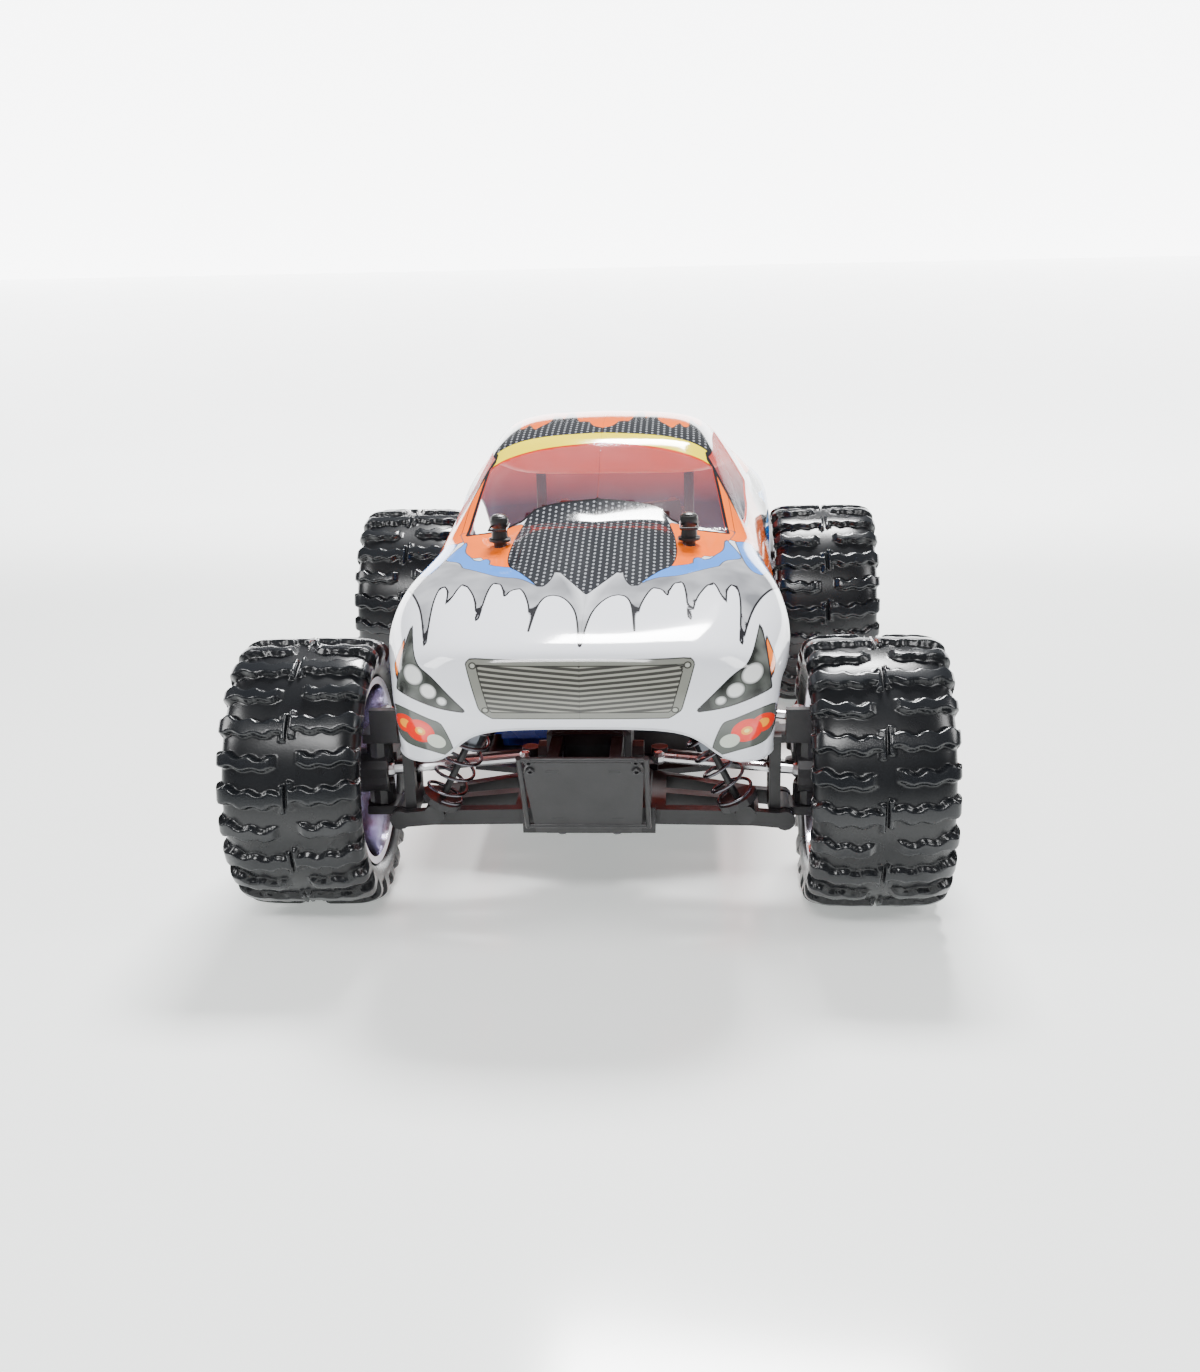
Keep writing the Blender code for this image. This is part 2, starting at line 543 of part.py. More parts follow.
def make_wheel(name, end, side):
    """The rim with its hub and stub axle, and the tyre around it."""
    centre = (side * HALF_TRACK, end * AXLE_Y, AXLE_Z)
    out = (side, 0, 0)
    half = RIM_WIDTH / 2
    seat = BEAD_RADIUS - GAP
    lip = BEAD_RADIUS + 2 * MM
    inner = seat - RIM_WALL
    hub = -12 * MM
    edge = half + 2 * MM
    rim_profile = [(lip, -edge), (lip, -half), (seat, -half), (seat, half), (lip, half), (lip, edge),
                   (inner, edge), (inner, 8 * MM), (18 * MM, 2 * MM), (0, 2 * MM),
                   (0, hub), (9 * MM, hub), (9 * MM, -2 * MM), (18 * MM, -2 * MM), (inner, 4 * MM),
                   (inner, -edge)]
    rim = turned(rim_profile, out, centre, WHEEL_FACETS)
    stub_start = Vector(centre) + Vector(out) * hub * 2.1
    stub = rod(stub_start, centre, 3.5 * MM, sides=8)
    windows = []
    for i in range(5):
        angle = 2 * math.pi * (i + 0.5) / 5
        spot = Vector(centre) + Vector((0, 28 * MM * math.sin(angle), 28 * MM * math.cos(angle)))
        windows.append(rod(spot - Vector((20 * MM, 0, 0)), spot + Vector((20 * MM, 0, 0)), 7 * MM, sides=8))
    node(name + "_rim", rim, [stub], windows, (CHROME, 0.15, 1.0), centre)
    wide = TYRE_WIDTH / 2
    bead = half - GAP
    wall = TYRE_WALL
    shoulder = TYRE_RADIUS - 4 * MM
    crown = wide - 5 * MM
    under = TYRE_RADIUS - 2 * wall
    side_wall = 50 * MM
    tyre_profile = [(BEAD_RADIUS, -bead), (lip + GAP, -bead), (lip + 2 * MM, -bead - 3 * MM),
                    (side_wall, -wide), (shoulder, -wide), (TYRE_RADIUS, -crown),
                    (TYRE_RADIUS, crown), (shoulder, wide), (side_wall, wide),
                    (lip + 2 * MM, bead + 3 * MM), (lip + GAP, bead), (BEAD_RADIUS, bead),
                    (BEAD_RADIUS, bead - wall), (side_wall, wide - wall), (under, crown - wall + MM),
                    (under, -crown + wall - MM), (side_wall, -wide + wall), (BEAD_RADIUS, -bead + wall)]
    tyre = turned(tyre_profile, out, centre, WHEEL_FACETS)
    node(name + "_tyre", tyre, look=(BLACK, 0.6, 0.0), origin=centre)


def make_steering():
    rack_y = -AXLE_Y + TIE_ROD_BACK
    rack_z = TIE_ROD_Z
    bar_z = 56.2 * MM
    bar = box((2 * LINK_X - 16 * MM, 7 * MM, 3 * MM), (0, rack_y + 4 * MM, bar_z))
    tongue = box((10 * MM, 16 * MM, 2.6 * MM), (16 * MM, rack_y + 12 * MM, bar_z))
    node("steering_plate", bar, [tongue], (), (BLACK, 0.5, 0.0))
    for side_name, side in SIDES:
        inner = (side * LINK_X, rack_y, rack_z)
        outer = (side * (LINK_X + ARM_SPAN), rack_y, rack_z - ARM_DROP)
        base = rod(inner, outer, 2 * MM, sides=10)
        joined = []
        for place in (inner, outer):
            up = Vector((0, 0, 3 * MM))
            joined.append(rod(Vector(place) - up, Vector(place) + up, 4 * MM))
        node("front_%s_tie_rod" % side_name, base, joined, (), (BLACK, 0.4, 0.0), inner)
    top = PLATE_TOP + GAP + 36 * MM
    arm = box((7 * MM, 24 * MM, 4 * MM), (20 * MM, -82 * MM, top + 2.4 * MM))
    boss = rod((20 * MM, -72 * MM, top + GAP), (20 * MM, -72 * MM, top + 5 * MM), 6 * MM)
    node("servo_horn", arm, [boss], (), (BLACK, 0.4, 0.0), (20 * MM, -72 * MM, top))


# Body shell
def knots(values, count):
    """A uniform cubic B-spline through control rows, its end rows held, read at count places."""
    rows = np.asarray(values, dtype=float)
    rows = np.concatenate([rows[:1], rows[:1], rows, rows[-1:], rows[-1:]])
    place = np.linspace(0, len(rows) - 3 - 1e-9, count)
    first = place.astype(int)
    t = (place - first).reshape(-1, *([1] * (rows.ndim - 1)))
    weights = (
        (1 - t) ** 3,
        3 * t ** 3 - 6 * t ** 2 + 4,
        -3 * t ** 3 + 3 * t ** 2 + 3 * t + 1,
        t ** 3,
    )
    return sum(weight / 6 * rows[first + i] for i, weight in enumerate(weights))


def shell_rows():
    """Rows from the fascia's lower lip over the hood and roof to the tail: each row runs from the
    middle plane to the sill as (x, y, z) in millimetres."""
    nose = -(AXLE_Y + SHELL_OVERHANG) / MM
    tail = -nose
    belt = SHELL_BELT / MM
    roof = ROOF_Z / MM
    hood = HOOD_Z / MM
    sill = SILL_Z / MM
    rows = [
        [(0, nose, 103), (24, nose, 103), (47, nose + 1, 101), (58, nose + 12, 83), (74, nose + 18, 82),
         (79, nose + 25, sill), (79, nose + 27, sill), (79, nose + 28, sill)],
        [(0, nose - 1, 107), (24, nose - 1, 107), (48, nose, 106), (64, nose + 8, 98),
         (78, nose + 16, 97),
         (80, nose + 25, 96), (80, nose + 29, 94), (79, nose + 30, 93)],
        [(0, nose - 1, 118), (24, nose - 1, 118), (48, nose, 117), (66, nose + 8, 114),
         (79, nose + 18, 112),
         (82, nose + 27, 109), (81.5, nose + 32, 106), (80.5, nose + 34, 104)],
        [(0, nose + 2, 132), (24, nose + 2, 132), (48, nose + 4, 131), (66, nose + 12, 128),
         (78, nose + 22, 122),
         (83, nose + 33, 118), (84, nose + 38, 115), (83, nose + 40, 113)],
        [(0, nose + 9, 137), (24, nose + 9, 137), (46, nose + 12, 137), (64, nose + 20, 134),
         (76, nose + 30, 129),
         (84, nose + 40, 122), (86, nose + 45, 116), (85, nose + 49, 112)],
        [(0, nose + 34, 142), (22, nose + 34, 142), (44, nose + 36, 143), (62, nose + 41, 142),
         (76, nose + 46, 137),
         (86, nose + 52, 128), (88, nose + 55, 121), (87, nose + 58, 117)],
        [(0, -142, 146), (20, -142, 147), (34, -138, 148), (56, -136, 150), (74, -134, 145),
         (belt, -132, 134), (belt + 1, -131, 125), (belt, -130, 120)],
        [(0, -112, 152), (27, -112, 154), (36, -110, 149), (56, -110, 151), (75, -110, 147),
         (belt - 4, -108, 141), (belt - 4, -106, 137), (belt - 4, -104, 134)],
        [(0, -84, hood + 8), (29, -84, hood + 11), (38, -84, hood + 1), (56, -84, 152), (75, -84, 148),
         (belt - 3, -90, 136), (belt - 3, -90, 124), (belt - 4, -88, 114)],
        [(0, -76, hood + 9), (30, -74, hood + 10), (40, -66, 153), (58, -62, 152), (73, -62, 150),
         (belt - 3, -72, 130), (belt - 3, -74, 110), (belt - 4, -76, sill + 10)],
        [(0, -70, 159), (30, -68, 159), (46, -60, 156), (60, -56, 155), (70, -54, 154),
         (belt - 2, -56, 130), (belt - 2, -60, 106), (belt - 3, -62, sill)],
        [(0, -42, 174), (26, -40, 173), (46, -36, 172), (56, -33, 171), (64, -30, 167),
         (belt - 2, -26, 132), (belt + 1, -26, 106), (belt - 1, -26, sill)],
        [(0, -18, 187), (24, -16, 186.5), (42, -14, 185), (52, -12, 183), (60, -8, 177),
         (belt - 2, -4, 132), (belt + 1, -4, 106), (belt - 1, -4, sill)],
        [(0, -8, roof - 2.5), (24, -7, roof - 3), (42, -6, roof - 4.5), (53, -4, roof - 8),
         (60, 0, roof - 15),
         (belt - 2, 4, 132), (belt + 1, 4, 106), (belt - 1, 4, sill)],
        [(0, 30, roof + 1), (24, 30, roof + 0.5), (42, 30, roof - 1), (54, 30, roof - 6),
         (60, 30, roof - 15),
         (belt - 2, 30, 132), (belt + 1, 30, 106), (belt - 1, 30, sill)],
        [(0, 66, roof - 1), (24, 66, roof - 1.5), (42, 66, roof - 3), (54, 67, roof - 8),
         (61, 68, roof - 16),
         (belt - 1, 64, 133), (belt + 2, 62, 106), (belt, 62, sill)],
        [(0, 80, roof - 7), (24, 80, roof - 7.5), (42, 80, roof - 9), (55, 82, roof - 14), (64, 86, 172),
         (belt, 82, 134), (belt + 3, 80, 110), (belt + 2, 76, sill + 2)],
        [(0, 92, 166), (24, 92, 166), (42, 92, 166), (57, 94, 167), (70, 98, 167),
         (belt + 1, 92, 138), (belt + 3, 88, 118), (belt + 3, 84, 100)],
        [(0, 98, 151), (24, 98, 151), (42, 98, 151), (60, 100, 153), (72, 110, 163),
         (belt + 1, 106, 139), (belt + 3, 100, 126), (belt + 3, 94, 116)],
        [(0, 112, 149), (24, 112, 149), (42, 112, 149), (62, 114, 150), (74, 128, 155),
         (belt, 126, 140), (belt + 3, 120, 133), (belt + 3, 114, 128)],
        [(0, 150, 149), (24, 150, 149), (42, 150, 149), (62, 150, 149), (75, 152, 149),
         (belt, 152, 140), (belt + 2, 154, 133), (belt + 2, 156, 129)],
        [(0, tail - 14, 148), (24, tail - 14, 148), (42, tail - 14, 148), (60, tail - 15, 148),
         (74, tail - 18, 146), (belt - 2, tail - 20, 134), (belt, tail - 20, 124), (belt, tail - 20, 118)],
        [(0, tail - 1, 144), (24, tail - 1, 144), (42, tail - 2, 144), (60, tail - 4, 142),
         (74, tail - 8, 137), (84, tail - 13, 126), (86, tail - 14, 112), (86, tail - 15, 106)],
        [(0, tail + 2, 124), (24, tail + 2, 124), (42, tail + 2, 124), (60, tail, 120),
         (74, tail - 4, 114), (83, tail - 8, 106), (84, tail - 10, 98), (84, tail - 11, 94)],
        [(0, tail - 1, 100), (24, tail - 1, 100), (42, tail - 2, 98), (60, tail - 4, 94),
         (72, tail - 6, 92), (80, tail - 8, 90), (82, tail - 9, 89), (82, tail - 9, 88)],
    ]
    # The middle of the net stretches with the wheelbase, and both arches keep their shape
    drawn = np.array(rows[6:21], dtype=float)
    stretch = (AXLE_Y - SHELL_DRAWN_AXLE) / MM
    drawn[..., 1] += stretch * np.clip(drawn[..., 1] / 62, -1, 1)
    return [*rows[:6], *drawn.tolist(), *rows[21:]]


def make_shell():
    net = np.array(shell_rows()) * MM
    rows = knots(net, 36)
    skin = knots(rows.transpose(1, 0, 2), 10).transpose(1, 0, 2)
    skin[:, 0, 0] = 0
    bm = bmesh.new()
    corners = [[bm.verts.new(spot) for spot in row] for row in skin]
    for i in range(len(corners) - 1):
        for j in range(len(corners[0]) - 1):
            bm.faces.new((corners[i][j], corners[i][j + 1], corners[i + 1][j + 1], corners[i + 1][j]))
    copy = mirrored_x(bm)
    mesh = bpy.data.meshes.new("shell_half")
    copy.to_mesh(mesh)
    bm.from_mesh(mesh)
    bmesh.ops.remove_doubles(bm, verts=bm.verts, dist=0.01 * MM)
    skin_object = add_object("shell_skin", bm, CUTTERS)
    wall = skin_object.modifiers.new("wall", "SOLIDIFY")
    wall.thickness = SHELL_WALL
    wall.offset = -1
    bpy.context.view_layer.update()
    evaluated = skin_object.evaluated_get(bpy.context.evaluated_depsgraph_get())
    solid = bmesh.new()
    solid.from_mesh(bpy.data.meshes.new_from_object(evaluated))
    bpy.data.objects.remove(skin_object, do_unlink=True)
    holes = []
    for y, top in ((FRONT_POST_Y, FRONT_POST_TOP), (REAR_POST_Y, REAR_POST_TOP)):
        for side in (-1, 1):
            x = side * POST_X
            holes.append(rod((x, y, top - 40 * MM), (x, y, top + 6 * MM), POST_RADIUS + 0.8 * MM, sides=12))
    node("body_shell", solid, (), holes, (WHITE, 0.15, 0.0))


def make_clips():
    """Spring clips whose two legs pass either side of a post, above the shell."""
    for side_name, side in SIDES:
        x = side * POST_X
        z = FRONT_POST_TOP - 5 * MM
        back = FRONT_POST_Y + 5 * MM
        front = FRONT_POST_Y - 9 * MM
        gap = POST_RADIUS + 0.6 * MM + GAP
        outline = [(x - gap, back), (x - gap, front), (x + gap, front), (x + gap, back)]
        wire = bpy.data.curves.new("wire", "CURVE")
        wire.dimensions = "3D"
        wire.bevel_depth = 0.6 * MM
        wire.bevel_resolution = 2
        wire.use_fill_caps = True
        spline = wire.splines.new("POLY")
        spline.points.add(len(outline) - 1)
        for point, (px, py) in zip(spline.points, outline):
            point.co = (px, py, z, 1)
        guide = bpy.data.objects.new("wire", wire)
        bpy.context.scene.collection.objects.link(guide)
        bpy.context.view_layer.update()
        bm = bmesh.new()
        graph = bpy.context.evaluated_depsgraph_get()
        bm.from_mesh(bpy.data.meshes.new_from_object(guide.evaluated_get(graph)))
        bpy.data.objects.remove(guide, do_unlink=True)
        bmesh.ops.remove_doubles(bm, verts=bm.verts, dist=0.001 * MM)
        node("front_%s_body_clip" % side_name, bm, look=(BLACK, 0.3, 0.5), origin=(x, FRONT_POST_Y, z))


clear_scene()
TRUCK = new_collection("rc_monster_truck")
CUTTERS = new_collection("construction")
make_chassis()
make_bumper()
make_gearboxes()
make_towers()
make_body_posts()
make_electronics()
make_drive()
make_steering()
for end_name, end_sign in ENDS:
    for side_name, side_sign in SIDES:
        corner = (end_name + "_" + side_name, end_sign, side_sign)
        make_arm(*corner)
        make_link(*corner)
        make_half_shaft(*corner)
        make_shock(*corner)
        make_carrier(*corner)
        make_wheel(*corner)
        if end_sign < 0:
            make_knuckle(*corner)
make_shell()
make_clips()
print("nodes:", len(TRUCK.objects))
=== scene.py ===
import math

import bmesh
import bpy
import numpy as np
from mathutils import Matrix, Vector


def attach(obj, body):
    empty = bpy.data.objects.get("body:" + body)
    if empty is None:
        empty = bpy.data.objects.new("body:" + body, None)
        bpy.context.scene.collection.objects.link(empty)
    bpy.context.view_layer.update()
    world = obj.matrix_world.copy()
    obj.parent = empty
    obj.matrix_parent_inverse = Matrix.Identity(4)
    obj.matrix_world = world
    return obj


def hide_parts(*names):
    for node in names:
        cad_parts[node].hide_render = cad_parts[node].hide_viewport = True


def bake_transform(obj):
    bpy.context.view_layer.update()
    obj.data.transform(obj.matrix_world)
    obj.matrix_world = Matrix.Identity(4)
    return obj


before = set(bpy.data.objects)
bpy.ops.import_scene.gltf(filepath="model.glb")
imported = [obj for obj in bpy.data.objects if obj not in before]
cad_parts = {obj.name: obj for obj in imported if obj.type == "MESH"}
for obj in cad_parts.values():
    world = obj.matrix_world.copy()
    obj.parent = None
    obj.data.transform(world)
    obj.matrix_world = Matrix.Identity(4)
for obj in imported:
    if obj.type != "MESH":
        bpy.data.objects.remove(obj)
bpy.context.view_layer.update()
mm = 0.001
sides = {"left": 1, "right": -1}
ends = {"front": -1, "rear": 1}


# Shaders: small helpers that wire nodes
def newMaterial(name, **values):
    material = bpy.data.materials.new(name)
    material.use_nodes = True
    tree = material.node_tree
    shader = tree.nodes["Principled BSDF"]
    for socket, value in values.items():
        shader.inputs[socket.replace("_", " ")].default_value = value
    return material, tree, shader


def mathNode(tree, operation, first, second=0.0, third=0.0):
    node = tree.nodes.new("ShaderNodeMath")
    node.operation = operation
    for slot, value in enumerate((first, second, third)):
        if isinstance(value, (int, float)):
            node.inputs[slot].default_value = value
        else:
            tree.links.new(value, node.inputs[slot])
    return node.outputs[0]


def mixColour(tree, share, first, second):
    node = tree.nodes.new("ShaderNodeMix")
    node.data_type = "RGBA"
    for slot, value in ((0, share), (6, first), (7, second)):
        if isinstance(value, (int, float)):
            node.inputs[slot].default_value = value
        elif isinstance(value, tuple):
            node.inputs[slot].default_value = (*value, 1)
        else:
            tree.links.new(value, node.inputs[slot])
    return node.outputs[2]


def mapRange(tree, value, fromMin, fromMax, toMin=0.0, toMax=1.0):
    node = tree.nodes.new("ShaderNodeMapRange")
    for slot, number in enumerate((fromMin, fromMax, toMin, toMax), 1):
        node.inputs[slot].default_value = number
    tree.links.new(value, node.inputs[0])
    return node.outputs[0]


def objectPlace(tree):
    return tree.nodes.new("ShaderNodeTexCoord").outputs["Object"]


def noise(tree, scale, detail=3.0, roughness=0.5):
    node = tree.nodes.new("ShaderNodeTexNoise")
    node.inputs["Scale"].default_value = scale
    node.inputs["Detail"].default_value = detail
    node.inputs["Roughness"].default_value = roughness
    tree.links.new(objectPlace(tree), node.inputs["Vector"])
    return node.outputs["Fac"]


def bump(tree, height, shader, strength=0.3, distance=0.0002):
    node = tree.nodes.new("ShaderNodeBump")
    node.inputs["Strength"].default_value = strength
    node.inputs["Distance"].default_value = distance
    tree.links.new(height, node.inputs["Height"])
    tree.links.new(node.outputs["Normal"], shader.inputs["Normal"])


def makeGrainGroup():
    # Moulded grain: a fine height and a slow roughness change, both from noise.
    group = bpy.data.node_groups.new("mouldedGrain", "ShaderNodeTree")
    face = group.interface
    face.new_socket("scale", in_out="INPUT", socket_type="NodeSocketFloat")
    face.new_socket("roughness", in_out="INPUT", socket_type="NodeSocketFloat")
    face.new_socket("height", in_out="OUTPUT", socket_type="NodeSocketFloat")
    face.new_socket("roughness", in_out="OUTPUT", socket_type="NodeSocketFloat")
    entry = group.nodes.new("NodeGroupInput")
    leave = group.nodes.new("NodeGroupOutput")
    place = group.nodes.new("ShaderNodeTexCoord").outputs["Object"]
    fine = group.nodes.new("ShaderNodeTexNoise")
    slow = group.nodes.new("ShaderNodeTexNoise")
    slow.inputs["Scale"].default_value = 70
    group.links.new(entry.outputs["scale"], fine.inputs["Scale"])
    for node in (fine, slow):
        group.links.new(place, node.inputs["Vector"])
    change = mathNode(group, "MULTIPLY_ADD", slow.outputs["Fac"], 0.3, -0.15)
    group.links.new(mathNode(group, "ADD", change, entry.outputs["roughness"]), leave.inputs["roughness"])
    group.links.new(fine.outputs["Fac"], leave.inputs["height"])
    return group


grainGroup = makeGrainGroup()


def grained(name, colour, roughness, metallic=0.0, scale=1500.0, strength=0.2, fleck=0.5, **values):
    # A moulded or machined finish: its colour wanders slightly and its surface has a fine grain.
    material, tree, shader = newMaterial(name, Metallic=metallic, **values)
    grain = tree.nodes.new("ShaderNodeGroup")
    grain.node_tree = grainGroup
    grain.inputs["scale"].default_value = scale
    grain.inputs["roughness"].default_value = roughness
    tree.links.new(grain.outputs["roughness"], shader.inputs["Roughness"])
    bump(tree, grain.outputs["height"], shader, strength, 0.0001)
    deep = tuple(channel * (1 - fleck * 0.5) for channel in colour)
    pale = tuple(min(1, channel * (1 + fleck * 0.5)) for channel in colour)
    tree.links.new(mixColour(tree, noise(tree, 90), deep, pale), shader.inputs["Base Color"])
    return material


# Meshes: surfaces worked out as whole arrays
def gridFaces(rows, columns, closeRows=False, closeColumns=False):
    # Quads between neighbours of a rows by columns grid, wrapped round where it closes.
    i = np.arange(rows if closeRows else rows - 1)
    j = np.arange(columns if closeColumns else columns - 1)
    i, j = np.meshgrid(i, j, indexing="ij")
    nextI = (i + 1) % rows
    nextJ = (j + 1) % columns
    quads = np.stack([i * columns + j, nextI * columns + j, nextI * columns + nextJ, i * columns + nextJ],
                     -1)
    return quads.reshape(-1, 4)


def meshObject(name, vertices, faces, smooth=True):
    mesh = bpy.data.meshes.new(name)
    vertices = np.asarray(vertices, dtype=np.float32).reshape(-1, 3)
    faces = np.asarray(faces)
    sizes = faces.shape[1]
    mesh.vertices.add(len(vertices))
    mesh.vertices.foreach_set("co", vertices.ravel())
    mesh.loops.add(faces.size)
    mesh.loops.foreach_set("vertex_index", faces.ravel().astype(np.int32))
    mesh.polygons.add(len(faces))
    mesh.polygons.foreach_set("loop_start", np.arange(0, faces.size, sizes, dtype=np.int32))
    mesh.update(calc_edges=True)
    mesh.validate()
    if smooth:
        mesh.shade_smooth()
    thing = bpy.data.objects.new(name, mesh)
    bpy.context.scene.collection.objects.link(thing)
    return thing


def fixNormals(thing, merge=0.0):
    bm = bmesh.new()
    bm.from_mesh(thing.data)
    if merge:
        bmesh.ops.remove_doubles(bm, verts=bm.verts, dist=merge)
    bmesh.ops.recalc_face_normals(bm, faces=bm.faces)
    bm.to_mesh(thing.data)
    bm.free()


def dress(thing, material, body):
    thing.data.materials.clear()
    thing.data.materials.append(material)
    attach(thing, body)
    return thing


def axisFrame(axis):
    # Three unit vectors, the first along the axis.
    along = np.array(axis, dtype=float)
    along /= np.linalg.norm(along)
    helper = np.array([0, 0, 1.0]) if abs(along[2]) < 0.9 else np.array([0, 1.0, 0])
    across = np.cross(helper, along)
    across /= np.linalg.norm(across)
    return along, across, np.cross(along, across)


def lathe(name, profile, centre, axis, steps=64):
    # A closed (radius, along) profile swung round the axis: centre + along*a + radius*(cos, sin).
    profile = np.array(profile, dtype=float)
    along, across, up = axisFrame(axis)
    angle = np.linspace(0, 2 * math.pi, steps, endpoint=False)[:, None, None]
    radius = profile[None, :, 0, None]
    spread = np.cos(angle) * across + np.sin(angle) * up
    points = np.array(centre) + profile[None, :, 1, None] * along + radius * spread
    thing = meshObject(name, points, gridFaces(steps, len(profile), True, True))
    fixNormals(thing, 0.000005)
    thing.data.set_sharp_from_angle(angle=math.radians(35))
    return thing


def tube(name, points, radius, sidesRound=10, closed=False):
    # A round tube carried along points: each ring is turned into the path's own plane.
    path = np.array(points, dtype=float)
    ahead = np.roll(path, -1, 0) - np.roll(path, 1, 0)
    if not closed:
        ahead[0] = path[1] - path[0]
        ahead[-1] = path[-1] - path[-2]
    ahead /= np.linalg.norm(ahead, axis=1)[:, None]
    helper = np.array([0.31, 0.2, 0.93])
    across = np.cross(ahead, helper)
    across /= np.linalg.norm(across, axis=1)[:, None]
    up = np.cross(ahead, across)
    angle = np.linspace(0, 2 * math.pi, sidesRound, endpoint=False)
    ring = np.cos(angle)[None, :, None] * across[:, None] + np.sin(angle)[None, :, None] * up[:, None]
    points = path[:, None] + radius * ring
    thing = meshObject(name, points, gridFaces(len(path), sidesRound, closed, True))
    if not closed:
        bm = bmesh.new()
        bm.from_mesh(thing.data)
        bmesh.ops.holes_fill(bm, edges=[edge for edge in bm.edges if edge.is_boundary], sides=0)
        bm.to_mesh(thing.data)
        bm.free()
    fixNormals(thing)
    thing.data.shade_smooth()
    thing.data.set_sharp_from_angle(angle=math.radians(50))
    return thing


def joined(name, things):
    # One piece from several meshes.
    bm = bmesh.new()
    for thing in things:
        bm.from_mesh(thing.data)
        bpy.data.objects.remove(thing, do_unlink=True)
    mesh = bpy.data.meshes.new(name)
    bm.to_mesh(mesh)
    bm.free()
    thing = bpy.data.objects.new(name, mesh)
    bpy.context.scene.collection.objects.link(thing)
    return thing


# Finishes
blackNylon = grained("blackNylon", (0.018, 0.018, 0.02), 0.42, scale=1800, strength=0.25)
gearboxNylon = grained("gearboxNylon", (0.03, 0.03, 0.033), 0.5, scale=1500, strength=0.3)
driveSteel = grained("driveSteel", (0.55, 0.55, 0.57), 0.28, 1.0, 900, 0.1, 0.2)
shockAlloy = grained("shockAlloy", (0.14, 0.15, 0.17), 0.3, 1.0, 900, 0.1, 0.2)
springSteel = grained("springSteel", (0.16, 0.16, 0.18), 0.25, 1.0, 900, 0.08, 0.2)
clipSteel = grained("clipSteel", (0.05, 0.05, 0.05), 0.3, 1.0, 900, 0.1, 0.2)
screwSteel = grained("screwSteel", (0.12, 0.12, 0.13), 0.3, 1.0, 900, 0.1, 0.3)
motorCan = grained("motorCan", (0.6, 0.6, 0.62), 0.25, 1.0, 700, 0.1, 0.2)
batteryWrap = grained("batteryWrap", (0.03, 0.06, 0.4), 0.3, scale=400, strength=0.3)
caseBlack = grained("caseBlack", (0.03, 0.03, 0.035), 0.4, scale=1600, strength=0.3)
postRubber = grained("postRubber", (0.012, 0.012, 0.012), 0.35, scale=1200, strength=0.15)


def makeRubber():
    # Tyre rubber: near black, satin, with a fine grain; the raised lugs are a touch paler and glossier.
    material, tree, shader = newMaterial("tyreRubber", Metallic=0.0)
    shader.inputs["Specular IOR Level"].default_value = 0.45
    fine = noise(tree, 1400, 4)
    slow = noise(tree, 60, 3)
    lugHeight = tree.nodes.new("ShaderNodeAttribute")
    lugHeight.attribute_name = "tread"
    base = mixColour(tree, slow, (0.004, 0.0045, 0.006), (0.008, 0.009, 0.011))
    # The raised lugs are mixed a touch paler than the grooves.
    tone = mixColour(tree, mathNode(tree, "MULTIPLY", lugHeight.outputs["Fac"], 0.5), base,
                     (0.012, 0.014, 0.017))
    tree.links.new(tone, shader.inputs["Base Color"])
    rough = mathNode(tree, "MULTIPLY_ADD", slow, 0.16, 0.2)
    tree.links.new(mathNode(tree, "MULTIPLY_ADD", lugHeight.outputs["Fac"], -0.06, rough),
                   shader.inputs["Roughness"])
    bump(tree, fine, shader, 0.25, 0.0001)
    return material


def makeRimFinish():
    # Plated plastic: a pale lavender mirror with slightly dull recesses.
    material, tree, shader = newMaterial("rimChrome", Metallic=1.0)
    slow = noise(tree, 50, 2)
    tree.links.new(mixColour(tree, slow, (0.66, 0.63, 0.78), (0.84, 0.82, 0.9)),
                   shader.inputs["Base Color"])
    tree.links.new(mathNode(tree, "MULTIPLY_ADD", slow, 0.1, 0.08), shader.inputs["Roughness"])
    bump(tree, noise(tree, 300, 2), shader, 0.04, 0.0001)
    return material


tyreRubber = makeRubber()
rimChrome = makeRimFinish()
print("finishes ready")


# Body shell: a spline surface over a net of rows, in millimetres, from lower lip to tail
shell = {
    "half": 200, "belt": 88, "roof": 194, "hood": 150, "sill": 84,
    "alongCount": 330, "acrossCount": 66, "skin": 0.35 * mm, "wall": 1.2 * mm, "paneDepth": 0.8 * mm,
}


